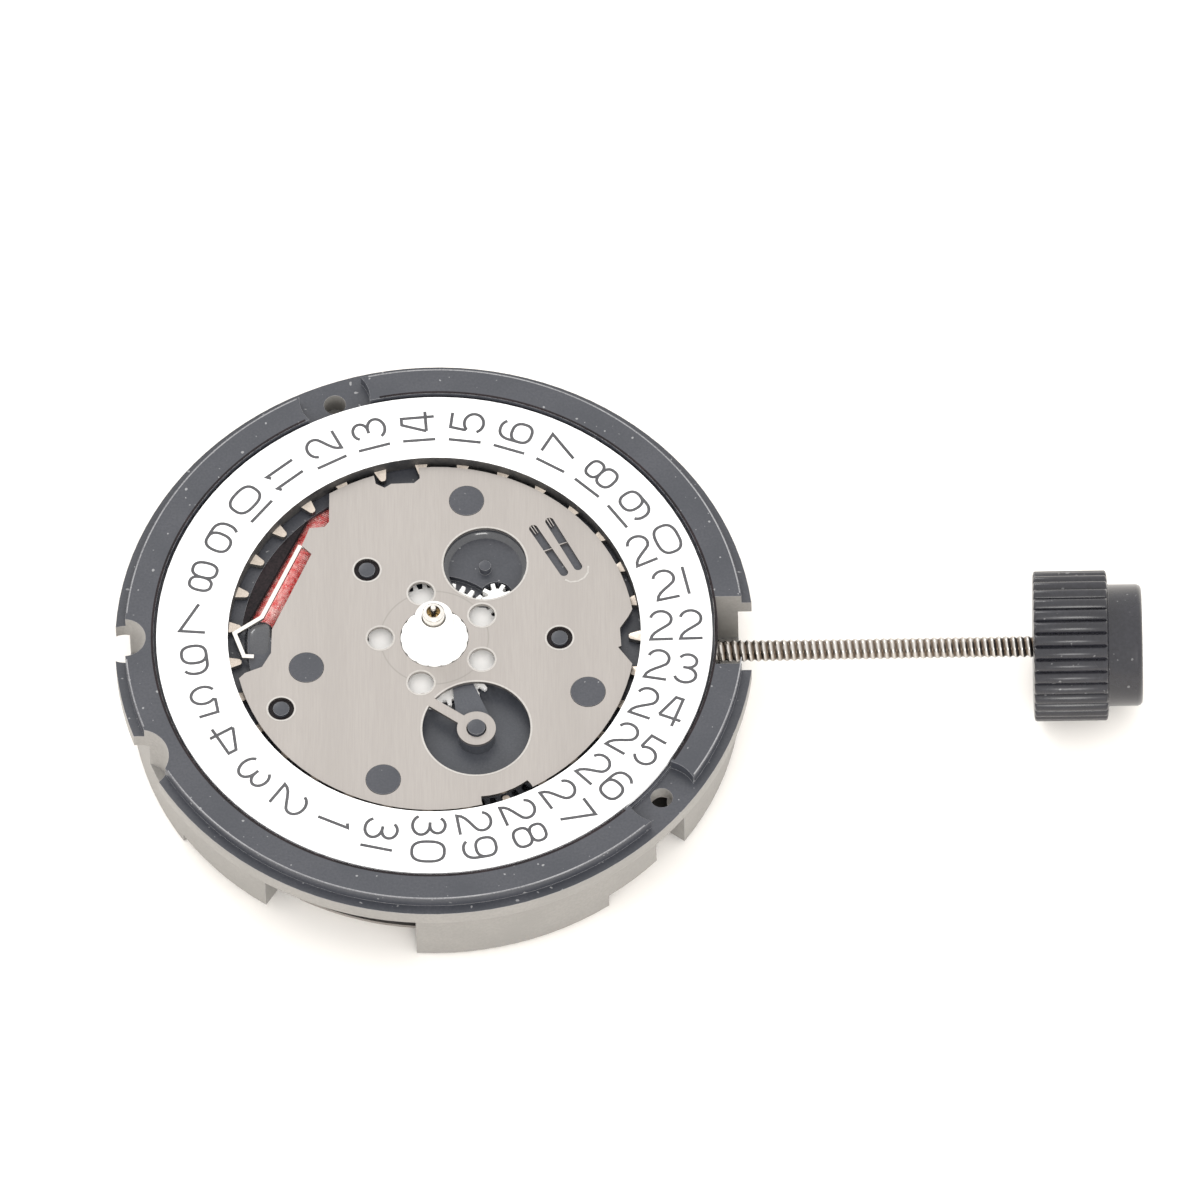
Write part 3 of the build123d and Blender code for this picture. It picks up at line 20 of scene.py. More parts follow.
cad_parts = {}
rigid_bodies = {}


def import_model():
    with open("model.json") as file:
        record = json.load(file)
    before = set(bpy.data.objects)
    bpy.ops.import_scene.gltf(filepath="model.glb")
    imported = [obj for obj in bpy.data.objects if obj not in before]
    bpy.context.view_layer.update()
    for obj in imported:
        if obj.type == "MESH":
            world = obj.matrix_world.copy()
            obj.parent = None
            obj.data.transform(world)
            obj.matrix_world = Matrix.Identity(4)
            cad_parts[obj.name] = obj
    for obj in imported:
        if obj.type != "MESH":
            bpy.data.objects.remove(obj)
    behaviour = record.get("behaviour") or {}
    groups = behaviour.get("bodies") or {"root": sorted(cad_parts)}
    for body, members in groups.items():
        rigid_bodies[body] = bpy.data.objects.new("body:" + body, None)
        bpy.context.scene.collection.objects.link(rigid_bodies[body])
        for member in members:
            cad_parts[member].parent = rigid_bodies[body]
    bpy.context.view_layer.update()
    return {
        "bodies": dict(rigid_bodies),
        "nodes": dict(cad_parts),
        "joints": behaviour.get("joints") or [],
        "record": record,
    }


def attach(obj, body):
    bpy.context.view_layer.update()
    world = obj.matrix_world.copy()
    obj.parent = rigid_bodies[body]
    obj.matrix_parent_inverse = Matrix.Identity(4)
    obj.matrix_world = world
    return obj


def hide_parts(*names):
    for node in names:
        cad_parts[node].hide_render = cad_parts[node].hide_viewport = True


log = logging.getLogger("movement")
MM = 0.001
PIECE_DOUBLES_MM = 0.0002
DEGENERATE_MM = 0.0001
SOLID_DOUBLES_MM = 0.0004
FLAT_DEG = 0.5
BEVEL_FROM_DEG = 32.0
SHARPEST_MITRE = 0.28
BOX_FACES = [(3, 2, 1, 0), (4, 5, 6, 7), (0, 1, 5, 4), (1, 2, 6, 5), (2, 3, 7, 6), (3, 0, 4, 7)]
SOCKET_KINDS = {type(None): "Vector", tuple: "Color", float: "Float"}
Triple = tuple[float, float, float]
Point = tuple[float, float]
Points = tuple[Point, ...]
Face = tuple[int, ...]
Socket = bpy.types.NodeSocket
Piece = bpy.types.Object


class Grain(Enum):
    """How the surface of a finish is drawn out along X, Y and Z."""

    MOULDED = (1.0, 1.0, 1.0)
    BRUSHED = (1.0, 0.045, 1.0)
    TURNED = (1.0, 0.25, 0.25)


class Shading(Enum):
    """How a piece's faces meet: smooth below this angle, in degrees."""

    ROUND = 60.0
    MACHINED = 28.0


@dataclass
class Graph:
    """A node tree that is being wired."""

    tree: bpy.types.NodeTree

    def feed(self, socket: Socket, value: object) -> None:
        """Link a socket to another node's output, or give it a plain value."""
        if isinstance(value, Socket):
            self.tree.links.new(value, socket)
        else:
            socket.default_value = value

    def fill(self, node: bpy.types.Node, values: dict[str, object]) -> bpy.types.Node:
        """Feed a node's inputs by their names."""
        for name, value in values.items():
            self.feed(node.inputs[name], value)
        return node

    def add(self, kind: str, values: dict[str, object]) -> bpy.types.Node:
        """Add a shader node and feed its inputs."""
        return self.fill(self.tree.nodes.new(f"ShaderNode{kind}"), values)

    def math(self, operation: str, *terms: object) -> Socket:
        """Return the output of a Math node."""
        node = self.add("Math", {})
        node.operation = operation
        for socket, term in zip(node.inputs, terms):
            self.feed(socket, term)
        return node.outputs[0]

    def parts(self, vector: Socket) -> list[Socket]:
        """Return the three parts of a vector."""
        node = self.add("SeparateXYZ", {"Vector": vector})
        return [node.outputs[axis] for axis in "XYZ"]

    def reach(self, first: object, second: object) -> Socket:
        """Return a distance from its two parts: (a^2 + b^2)^(1/2)."""
        squares = [self.math("MULTIPLY", part, part) for part in (first, second)]
        return self.math("SQRT", self.math("ADD", *squares))

    def mapped(self, value: object, low: object = 0.0, high: object = 1.0, to_low: object = 0.0,
               to_high: object = 1.0) -> Socket:
        """Return a value brought from one range to another, and held inside it."""
        return self.add("MapRange", {
            "Value": value, "From Min": low, "From Max": high, "To Min": to_low,
            "To Max": to_high}).outputs["Result"]

    def mixed(self, share: object, first: object, second: object) -> Socket:
        """Return two colours mixed by the second one's share."""
        node = self.add("Mix", {})
        node.data_type = "RGBA"
        return self.fill(node, {"Factor": share, "A": first, "B": second}).outputs["Result"]

    def group(self, name: str, values: dict[str, object]) -> bpy.types.Node:
        """Add a shared group, built the first time that it is asked for, and feed its inputs."""
        node = self.add("Group", {})
        node.node_tree = bpy.data.node_groups.get(name) or GROUP_MAKERS[name]()
        return self.fill(node, values)


def new_group(name: str, inputs: dict[str, object], outputs: dict[str, str]) -> tuple:
    """Start a node group.

    Args:
        name: The group's name.
        inputs: What each input holds by default, which gives its kind. None is a vector.
        outputs: Each output's kind.

    Returns:
        The group's graph, what it is given and what it gives back.
    """
    tree = bpy.data.node_groups.new(name, "ShaderNodeTree")
    for label, value in inputs.items():
        kind = SOCKET_KINDS[type(value)]
        socket = tree.interface.new_socket(label, in_out="INPUT", socket_type=f"NodeSocket{kind}")
        if value is not None:
            socket.default_value = value
    for label, kind in outputs.items():
        tree.interface.new_socket(label, in_out="OUTPUT", socket_type=f"NodeSocket{kind}")
    given, result = tree.nodes.new("NodeGroupInput"), tree.nodes.new("NodeGroupOutput")
    return Graph(tree), given.outputs, result.inputs


def surface_group() -> bpy.types.NodeTree:
    """Build the group that breaks up a plain colour: broad patches, fine grain and a few specks."""
    graph, given, result = new_group("broken_surface", {
        "Vector": None, "Tone": (0.5, 0.5, 0.5, 1.0), "Patch Tone": (0.4, 0.4, 0.4, 1.0),
        "Speck Tone": (0.8, 0.8, 0.8, 1.0), "Patch Scale": 400.0, "Grain Scale": 12000.0,
        "Speck Scale": 5200.0, "Speck Amount": 0.05, "Roughness Low": 0.3, "Roughness High": 0.5,
    }, {"Color": "Color", "Roughness": "Float", "Height": "Float"})
    noise = {}
    for part, detail in (("Patch", 4.0), ("Grain", 3.0), ("Speck", 0.0)):
        noise[part] = graph.add("TexNoise", {
            "Detail": detail, "Vector": given["Vector"], "Scale": given[f"{part} Scale"],
        }).outputs["Fac"]
    patches = graph.mapped(graph.math("MULTIPLY", noise["Patch"], noise["Grain"]), 0.15, 0.38)
    tone = graph.mixed(patches, given["Tone"], given["Patch Tone"])
    specks = graph.math("MULTIPLY", graph.mapped(noise["Speck"], 0.79, 0.83), given["Speck Amount"])
    graph.feed(result["Color"], graph.mixed(specks, tone, given["Speck Tone"]))
    graph.feed(result["Roughness"], graph.mapped(
        noise["Patch"], to_low=given["Roughness Low"], to_high=given["Roughness High"]))
    graph.feed(result["Height"], noise["Grain"])
    return graph.tree


def groove_group() -> bpy.types.NodeTree:
    """Build the group that finds how deep a place lies in a thread along X: 1 at its root."""
    graph, given, result = new_group("thread_grooves", {
        "Vector": None, "Axis Height": -0.00184, "Crest Radius": 0.00045, "Root Radius": 0.00038,
    }, {"Mask": "Float"})
    _, y, z = graph.parts(given["Vector"])
    radius = graph.reach(y, graph.math("SUBTRACT", z, given["Axis Height"]))
    graph.feed(result["Mask"], graph.mapped(radius, given["Crest Radius"], given["Root Radius"]))
    return graph.tree


def circle_group() -> bpy.types.NodeTree:
    """Build the group that finds a fine circle about Z, pressed into a sheet."""
    graph, given, result = new_group("pressed_circle", {
        "Vector": None, "Radius": 0.0022, "Half Width": 0.000045}, {"Mask": "Float"})
    x, y, _ = graph.parts(given["Vector"])
    off = graph.math("ABSOLUTE", graph.math("SUBTRACT", graph.reach(x, y), given["Radius"]))
    graph.feed(result["Mask"], graph.mapped(off, given["Half Width"], 0.0))
    return graph.tree


GROUP_MAKERS = {
    "broken_surface": surface_group, "thread_grooves": groove_group, "pressed_circle": circle_group}


@dataclass(frozen=True)
class Finish:
    """One finish of the movement, made once as a material from the shared surface group.

    Args:
        name: The material's name.
        tone: The main colour, as linear light.
        patch_tone: The colour of its broad patches.
        rough: The lowest and highest roughness.
        metal: How metallic it is.
        grain: How its surface is broken up.
        grain_mm: The size of its grain.
        relief_mm: How deep the grain is.
        speck_tone: The colour of stray dust, and on the coil the pale pink of its painted
            highlights.
        specks: How strong the specks are.
        coat: The weight of a clear coat.
        shine: How strongly it mirrors, with 0.5 as for plain plastic.
        second_tone: The colour that a second group's mask brings in.
        second_group: Where that is: thread_grooves or pressed_circle.
        slot: Its material slot, where that isn't called as the finish is; not used.
    """

    name: str
    tone: Triple
    patch_tone: Triple
    rough: Point
    metal: float = 0.0
    grain: Grain = Grain.MOULDED
    grain_mm: float = 0.08
    relief_mm: float = 0.004
    speck_tone: Triple = (0.7, 0.7, 0.7)
    specks: float = 0.0
    coat: float = 0.0
    shine: float = 0.5
    second_tone: Triple = (0.0, 0.0, 0.0)
    second_group: str = ""
    slot: str = ""

    def material(self) -> bpy.types.Material:
        """Return the material, built the first time that it is asked for."""
        label = f"{self.name}_finish"
        made = bpy.data.materials.get(label)
        if made:
            return made
        made = bpy.data.materials.new(label)
        made.use_nodes = True
        graph = Graph(made.node_tree)
        where = graph.add("TexCoord", {}).outputs["Object"]
        drawn = graph.add("Mapping", {"Scale": self.grain.value, "Vector": where})
        broken = graph.group("broken_surface", {
            "Vector": drawn.outputs["Vector"], "Tone": (*self.tone, 1.0),
            "Patch Tone": (*self.patch_tone, 1.0), "Speck Tone": (*self.speck_tone, 1.0),
            "Grain Scale": 1.0 / (self.grain_mm * MM), "Speck Amount": self.specks,
            "Roughness Low": self.rough[0], "Roughness High": self.rough[1]})
        relief = graph.add("Bump", {
            "Distance": self.relief_mm * MM, "Height": broken.outputs["Height"]})
        tone = broken.outputs["Color"]
        if self.second_group:
            found = graph.group(self.second_group, {"Vector": where})
            tone = graph.mixed(found.outputs["Mask"], tone, (*self.second_tone, 1.0))
        graph.fill(graph.tree.nodes["Principled BSDF"], {
            "Base Color": tone, "Roughness": broken.outputs["Roughness"],
            "Normal": relief.outputs["Normal"], "Metallic": self.metal,
            "Coat Weight": self.coat, "Specular IOR Level": self.shine})
        return made


DARK_PLASTIC = Finish(
    "dark_plastic", (0.036, 0.039, 0.048), (0.051, 0.053, 0.063), (0.3, 0.44),
    grain_mm=0.1, relief_mm=0.002, specks=0.3)
# A lighter copy of the dark plastic for the body's walls and the scoops' floors: painted light.
PAINTED_LIGHT_WALL = Finish(
    "pale_wall", (0.225, 0.216, 0.203), (0.26, 0.248, 0.233), (0.38, 0.5),
    grain_mm=0.12, relief_mm=0.002)
# Near black with little shine: painted shade, on the lip over the coil, round the pins and on the
# rim's inner edge.
SHADED_PLASTIC = Finish(
    "shaded_plastic", (0.012, 0.011, 0.012), (0.03, 0.022, 0.024), (0.2, 0.35),
    relief_mm=0.001, shine=0.1, slot="dark_plastic")
GLOSS_PLASTIC = Finish(
    "gloss_plastic", (0.03, 0.032, 0.038), (0.045, 0.047, 0.053), (0.12, 0.22),
    relief_mm=0.001, coat=0.6, slot="dark_plastic")
# Light grey for the plate's rounded edges and the rim's outer edge: a painted highlight.
PLATE_EDGE_HIGHLIGHT = Finish(
    "plate_edge_highlight", (0.3, 0.3, 0.31), (0.14, 0.14, 0.15), (0.22, 0.35),
    relief_mm=0.002, slot="dark_plastic")
# Brighter steel round the guard's holes, its well and its tongue: a painted highlight.
GUARD_EDGE_HIGHLIGHT = Finish(
    "guard_edge_highlight", (0.53, 0.51, 0.485), (0.44, 0.42, 0.395), (0.25, 0.35),
    metal=0.95, relief_mm=0.001, slot="guard_steel")
TRACK = Finish("ring_track", (0.03, 0.03, 0.032), (0.07, 0.065, 0.06), (0.4, 0.5), grain_mm=0.3)
BLACK_PLASTIC = Finish("black_plastic", (0.05, 0.054, 0.065), (0.068, 0.072, 0.083), (0.3, 0.45))
WHITE_PLASTIC = Finish(
    "white_plastic", (0.97, 0.965, 0.95), (0.95, 0.94, 0.92), (0.35, 0.5), relief_mm=0.001)
RING_WHITE = Finish(
    "ring_white", (0.93, 0.93, 0.93), (0.9, 0.9, 0.905), (0.42, 0.55), relief_mm=0.0006)
RING_METAL = Finish(
    "ring_teeth", (0.62, 0.55, 0.48), (0.48, 0.42, 0.36), (0.3, 0.5), metal=0.8, grain_mm=0.05)
PRINTING = Finish(
    "printing_ink", (0.045, 0.045, 0.05), (0.075, 0.075, 0.08), (0.5, 0.65),
    relief_mm=0.001, slot="ring_white")
GUARD_STEEL = Finish(
    "guard_steel", (0.358, 0.333, 0.314), (0.388, 0.362, 0.341), (0.36, 0.46),
    metal=0.92, grain=Grain.BRUSHED, grain_mm=0.05, relief_mm=0.0012,
    second_tone=(0.3, 0.285, 0.265), second_group="pressed_circle")
SPRING_STEEL = Finish(
    "spring_steel", (0.8, 0.77, 0.73), (0.7, 0.67, 0.63), (0.22, 0.34),
    metal=1.0, grain=Grain.BRUSHED, grain_mm=0.04, relief_mm=0.001)
TURNED_STEEL = Finish(
    "turned_steel", (0.72, 0.7, 0.67), (0.6, 0.57, 0.53), (0.16, 0.3),
    metal=1.0, grain=Grain.TURNED, grain_mm=0.05, relief_mm=0.0015)
# The dark brown that thread_grooves brings into the thread's roots is painted shade.
THREAD_STEEL = Finish(
    "thread_steel", (0.66, 0.64, 0.61), (0.55, 0.52, 0.49), (0.16, 0.3),
    metal=1.0, grain=Grain.TURNED, grain_mm=0.05, relief_mm=0.0015,
    second_tone=(0.1, 0.075, 0.055), second_group="thread_grooves", slot="turned_steel")
BRASS = Finish(
    "brass", (0.72, 0.52, 0.24), (0.62, 0.43, 0.18), (0.2, 0.34),
    metal=1.0, grain_mm=0.05, relief_mm=0.001)
SOFT_IRON = Finish(
    "soft_iron", (0.42, 0.41, 0.4), (0.34, 0.33, 0.32), (0.35, 0.5), metal=1.0, relief_mm=0.001)
MAGNET = Finish("magnet", (0.12, 0.12, 0.13), (0.16, 0.16, 0.17), (0.4, 0.55), metal=0.8)
# The red is the wire's own enamel; the pale pink patches and specks are painted highlights.
ENAMEL = Finish(
    "enamelled_wire", (0.8, 0.045, 0.045), (1.0, 0.56, 0.52), (0.14, 0.28),
    grain_mm=0.17, relief_mm=0.012, speck_tone=(0.98, 0.62, 0.58), specks=1.0, coat=1.0)
LAMINATE = Finish(
    "circuit_board", (0.02, 0.075, 0.035), (0.035, 0.11, 0.05), (0.35, 0.5), grain_mm=0.12)
RESIN = Finish("resin", (0.012, 0.012, 0.013), (0.02, 0.02, 0.022), (0.18, 0.3), grain_mm=0.4)
CRYSTAL_CAN = Finish(
    "crystal_can", (0.66, 0.66, 0.67), (0.56, 0.56, 0.58), (0.2, 0.34),
    metal=1.0, grain=Grain.TURNED)
CELL_STEEL = Finish(
    "cell_steel", (0.7, 0.7, 0.7), (0.62, 0.62, 0.62), (0.18, 0.32),
    metal=1.0, grain=Grain.TURNED, grain_mm=0.06, relief_mm=0.0015)
CROWN_PLASTIC = Finish(
    "crown_plastic", (0.012, 0.012, 0.016), (0.02, 0.02, 0.026), (0.2, 0.32),
    grain_mm=0.15, relief_mm=0.002, specks=0.15)
PAPER = Finish(
    "paper", (0.985, 0.955, 0.915), (0.98, 0.95, 0.91), (0.8, 0.9), grain_mm=2.0, relief_mm=0.0)


@contextmanager
def edited(mesh: bpy.types.Mesh) -> Iterator[bmesh.types.BMesh]:
    """Open a mesh for editing and write it back."""
    soft = bmesh.new()
    soft.from_mesh(mesh)
    yield soft
    soft.to_mesh(mesh)
    soft.free()


def placed(name: str, data: bpy.types.ID) -> Piece:
    """Put a new object into the scene."""
    made = bpy.data.objects.new(name, data)
    bpy.context.scene.collection.objects.link(made)
    return made


def make_piece(name: str, points: np.ndarray, faces: list[Face]) -> Piece:
    """Make an object from points in millimetres.

    Args:
        name: The piece's name.
        points: An (n, 3) array.
        faces: The faces, as indexes of points.

    Returns:
        The object, at the origin, with its doubles merged and its faces outwards.
    """
    mesh = bpy.data.meshes.new(name)
    whole = [tuple(int(index) for index in face) for face in faces]
    mesh.from_pydata((np.asarray(points) * MM).tolist(), [], whole)
    with edited(mesh) as soft:
        bmesh.ops.remove_doubles(soft, verts=soft.verts, dist=PIECE_DOUBLES_MM * MM)
        bmesh.ops.dissolve_degenerate(soft, dist=DEGENERATE_MM * MM, edges=soft.edges)
        bmesh.ops.recalc_face_normals(soft, faces=soft.faces)
    return placed(name, mesh)


def joined(name: str, parts: list[tuple[np.ndarray, list[Face]]]) -> Piece:
    """Make one object from the points and faces of several parts."""
    faces, start = [], 0
    for points, part in parts:
        faces += [tuple(index + start for index in face) for face in part]
        start += len(points)
    return make_piece(name, np.concatenate([points for points, _ in parts]), faces)


def around(steps: int) -> np.ndarray:
    """Return the angles of a full turn in equal steps."""
    return np.linspace(0.0, 2 * math.pi, steps, endpoint=False)


def circle(radius: float, turn: np.ndarray, centre: Point = (0.0, 0.0)) -> np.ndarray:
    """Return places on a circle: x = a + r cos t, y = b + r sin t."""
    return np.array(centre) + radius * np.stack([np.cos(turn), np.sin(turn)], axis=1)


def bent(wave: np.ndarray, power: float) -> np.ndarray:
    """Raise a wave's size to a power and keep its sign."""
    return np.sign(wave) * np.abs(wave) ** power


def grid(*parts: np.ndarray) -> np.ndarray:
    """Return the points of a grid, row by row, from its x, y and z spread over the whole of it."""
    return np.stack(np.broadcast_arrays(*parts), axis=-1).reshape(-1, 3)


def sheet_faces(rows: int, columns: int, close_rows: bool = False) -> list[Face]:
    """Return the quads of a grid whose columns close round, and its rows too if asked."""
    row = np.arange(rows if close_rows else rows - 1)[:, None]
    column = np.arange(columns)[None, :]
    here, below, after = row * columns, (row + 1) % rows * columns, (column + 1) % columns
    quads = np.stack([here + column, here + after, below + after, below + column], axis=-1)
    return [tuple(quad) for quad in quads.reshape(-1, 4)]


def capped_faces(rows: int, columns: int) -> list[Face]:
    """Return the quads of a grid whose columns close round, with a face over each end."""
    count = rows * columns
    ends = [tuple(range(columns)), tuple(range(count - 1, count - columns - 1, -1))]
    return sheet_faces(rows, columns) + ends


def strip_points(edges: list[tuple[np.ndarray, float]]) -> np.ndarray:
    """Return the points of a strip, place by place, from its edges and their heights."""
    rows = [np.column_stack([line, np.full(len(line), height)]) for line, height in edges]
    return np.stack(rows, axis=1).reshape(-1, 3)


def turned(name: str, radius: np.ndarray, height: list[float], about: Point = (0.0, 0.0)) -> Piece:
    """Make a surface about an upright axis: x = a + r cos t, y = b + r sin t. Each row has its
    height, and its radius at each angle of a full turn."""
    rows, steps = radius.shape
    turn = around(steps)
    points = grid(about[0] + radius * np.cos(turn), about[1] + radius * np.sin(turn),
                  np.array(height)[:, None])
    return make_piece(name, points, sheet_faces(rows, steps))


def turned_profile(name: str, profile: list[Point], about: Point, steps: int) -> Piece:
    """Turn a profile of radii and heights, closed by its last point and its first."""
    line = np.array(profile + profile[:1])
    return turned(name, np.repeat(line[:, :1], steps, axis=1), line[:, 1], about)


def ribbon(line: np.ndarray, width: float, under_z: float, top_z: float,
           closed: bool = False) -> tuple[np.ndarray, list[Face]]:
    """Return a flat ribbon's points and faces, mitred at each point: (n1 + n2) / (1 + n1 . n2).

    Args:
        line: The points of its middle, in millimetres.
        width: How wide it is.
        under_z: The height of its underside.
        top_z: The height of its top.
        closed: Whether the line comes back to its start.
    """
    ahead = np.diff(np.vstack([line, line[:1]]) if closed else line, axis=0)
    ahead /= np.maximum(np.linalg.norm(ahead, axis=1, keepdims=True), 1e-9)
    normal = np.stack([-ahead[:, 1], ahead[:, 0]], axis=1)
    before = np.roll(normal, 1, axis=0) if closed else np.vstack([normal[:1], normal])
    after = normal if closed else np.vstack([normal, normal[-1:]])
    meet = np.sum(before * after, axis=1, keepdims=True)
    aside = (before + after) / np.maximum(1 + meet, SHARPEST_MITRE) * width * 0.5
    left, right = line + aside, line - aside
    points = strip_points([(left, under_z), (left, top_z), (right, top_z), (right, under_z)])
    return points, sheet_faces(len(line), 4, True) if closed else capped_faces(len(line), 4)


def smooth(piece: Piece, shading: Shading) -> None:
    """Shade a piece smooth where its faces meet at less than the shading's angle."""
    piece.data.shade_smooth()
    limit = math.radians(shading.value)
    with edited(piece.data) as soft:
        for edge in soft.edges:
            edge.smooth = len(edge.link_faces) == 2 and edge.calc_face_angle(math.pi) < limit


def bevelled(piece: Piece, width_mm: float, edge_slot: int = 0) -> None:
    """Round a piece's sharp edges a little, as moulding and deburring leave them."""
    bevel = piece.modifiers.new("edges", "BEVEL")
    bevel.width = width_mm * MM
    bevel.segments = 2
    bevel.limit_method = "ANGLE"
    bevel.angle_limit = math.radians(BEVEL_FROM_DEG)
    bevel.use_clamp_overlap = True
    # The rounded edges may take a material of their own: on the plate, a painted highlight.
    if edge_slot:
        bevel.material = edge_slot
    flat = piece.modifiers.new("flat_faces", "WEIGHTED_NORMAL")
    flat.weight = 100


def dress(piece: Piece, finish: Finish, body: str = "movement", replaced: str = "",
          shading: Shading | None = None) -> None:
    """Give a new piece its finish and its body and, where they are named, the node that it
    stands for and its shading."""
    if shading:
        smooth(piece, shading)
    piece.data.materials.clear()
    piece.data.materials.append(finish.material())
    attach(piece, body)
    finish.slot or finish.name
    if replaced:
        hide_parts(replaced)


def refined(frame: dict, node: str, name: str, finish: Finish, body: str = "movement",
            edge_mm: float = 0.0, edge_slot: int = 0) -> Piece:
    """Put a clean, dressed copy in a node's place and return it: merged, its flat faces joined.

    Args:
        frame: The loaded frame.
        node: The node that is copied.
        name: The new piece's name.
        finish: Its finish.
        body: The body that carries it.
        edge_mm: The width of its rounded edges, or 0 for sharp ones.
        edge_slot: The material slot of those edges, or 0 for the piece's own.
    """
    mesh = frame["nodes"][node].data.copy()
    mesh.name = name
    with edited(mesh) as soft:
        bmesh.ops.remove_doubles(soft, verts=soft.verts, dist=SOLID_DOUBLES_MM * MM)
        bmesh.ops.dissolve_limit(
            soft, angle_limit=math.radians(FLAT_DEG), verts=soft.verts, edges=soft.edges)
        for edge in soft.edges:
            edge.smooth = True
    piece = placed(name, mesh)
    mesh.shade_smooth()
    if edge_mm:
        bevelled(piece, edge_mm, edge_slot)
    else:
        smooth(piece, Shading.MACHINED)
    dress(piece, finish, body, node)
    return piece


@dataclass
class Plate:
    """The moulded main plate and the bright sheet on it."""

    edge_mm: float = 0.04
    wall_from_r: float = 11.3
    upright_below: float = 0.45
    step_gap: float = 0.02
    notch_reach: float = 1.75
    scoops: tuple[Triple, ...] = ((-12.61, -0.02, 0.95), (-12.04, -5.64, 1.32))
    step_r: float = 12.6
    flange_top_z: float = -0.53
    floor_z: float = -1.3
    coil_angle: float = 153.43
    lip_from: float = 7.27
    lip_r: float = 7.95
    lip_ends: Point = (-2.75, 3.45)
    lip_steps: int = 48
    lip_edge: float = 0.05
    lip_least: float = 0.02
    lip_top_z: float = -0.92
    lip_under_z: float = -1.12
    bump_at: Point = (-7.12, 0.10)
    bump_reach: Point = (0.62, 1.05)
    bump_grid: tuple[int, int] = (14, 40)
    bump_corner: float = 0.7
    bump_dome: float = 2.5
    bump_top_z: float = -0.5
    bump_under_z: float = -0.88
    slot_ends: tuple[Points, ...] = (
        ((4.07, 5.13), (5.29, 3.02)), ((4.73, 5.46), (5.87, 3.28)))
    slot_width: float = 0.35
    prong_sides: Point = (-0.055, 0.055)
    prong_end: float = 0.27
    prong_width: float = 0.045
    bar_share: float = 0.47
    bar_width: float = 0.05
    sheet_top_z: float = -0.435
    sheet_under_z: float = -0.56
    light_holes: Points = (
        (1.94, 1.036), (-0.53, 2.135), (-2.2, 0.021), (-0.563, -2.127), (1.922, -1.07))
    hole_r: float = 0.53
    eyelet_at: Point = (1.68, -4.32)
    eyelet_r: float = 2.2
    eyelet_turns: Point = (151.0, 499.0)
    tongue: Points = (
        (6.29, 3.30), (6.27, 3.00), (6.12, 2.74), (5.86, 2.58), (5.56, 2.55), (5.34, 2.66))
    rim_width: float = 0.075
    rim_top_z: float = -0.413
    pins: Points = ((-2.731, 3.278), (5.092, -0.092), (-6.243, -3.26))
    pin_r: float = 0.33
    seat_gap: float = 0.005
    seat_top: float = 0.015
    well_at: Point = (2.08, 3.49)
    well_r: float = 1.8
    well_mouth_r: float = 1.7
    well_floor_z: float = -0.93
    fillet_r: float = 0.3
    worn_r: float = 12.555
    worn_width: float = 0.05
    worn_turns: Points = (
        (-33.4, -6.0), (7.6, 103.2), (116.3, 175.6), (184.8, 200.0), (210.4, 313.4))
    shaded_r: float = 11.482
    shaded_width: float = 0.095
    shaded_turns: Points = ((-32.6, 102.4), (117.0, 313.0))
    line_step: float = 1.5
    rim_under_z: float = -0.004
    rim_line_z: float = 0.004

    def pale_walls(self, plate: Piece) -> None:
        """Paint the body's upright walls and its scoops' floors in a lighter copy of the dark
        plastic,
        face by face: painted light.
        """
        plate.data.materials.append(PAINTED_LIGHT_WALL.material())
        painted_light_slot = len(plate.data.materials) - 1
        faces = plate.data.polygons
        count = len(faces)
        centre, normal = np.empty(count * 3), np.empty(count * 3)
        slot = np.zeros(count, dtype=np.int32)
        faces.foreach_get("center", centre)
        faces.foreach_get("normal", normal)
        x, y, z = (centre.reshape(-1, 3) / MM).T
        upright = np.abs(normal.reshape(-1, 3)[:, 2]) < self.upright_below
        outside = np.hypot(x, y) > self.wall_from_r
        cut = (x > self.wall_from_r) & (np.abs(y) < self.notch_reach)
        for scoop_x, scoop_y, reach in self.scoops:
            cut |= np.hypot(x - scoop_x, y - scoop_y) < reach
        step = np.abs(np.hypot(x, y) - self.step_r) < self.step_gap
        slot[outside & upright & ((z < self.flange_top_z) | (cut & ~step))] = painted_light_slot
        slot[outside & ~upright & (z < self.floor_z)] = painted_light_slot
        faces.foreach_set("material_index", slot)

    def build_lip(self) -> None:
        """Cover the coil's outer side, from a straight edge beside it out to a circle about Z."""
        turn = math.radians(self.coil_angle)
        outward = np.array([math.cos(turn), math.sin(turn)])
        along = np.array([outward[1], -outward[0]])
        steps = np.linspace(*self.lip_ends, self.lip_steps)[:, None]
        inner = outward * self.lip_from + steps * along
        reach = np.sqrt(self.lip_r ** 2 - steps ** 2)
        outer = outward * np.maximum(reach, self.lip_from + self.lip_least) + steps * along
        edges = [
            (inner, self.lip_under_z), (inner, self.lip_top_z - self.lip_edge),
            (inner + outward * self.lip_edge, self.lip_top_z), (outer, self.lip_top_z),
            (outer, self.lip_under_z)]
        lip = make_piece("bay_lip", strip_points(edges), capped_faces(self.lip_steps, len(edges)))
        # The lip is near black: painted shade under the ring's edge.
        dress(lip, SHADED_PLASTIC, shading=Shading.MACHINED)

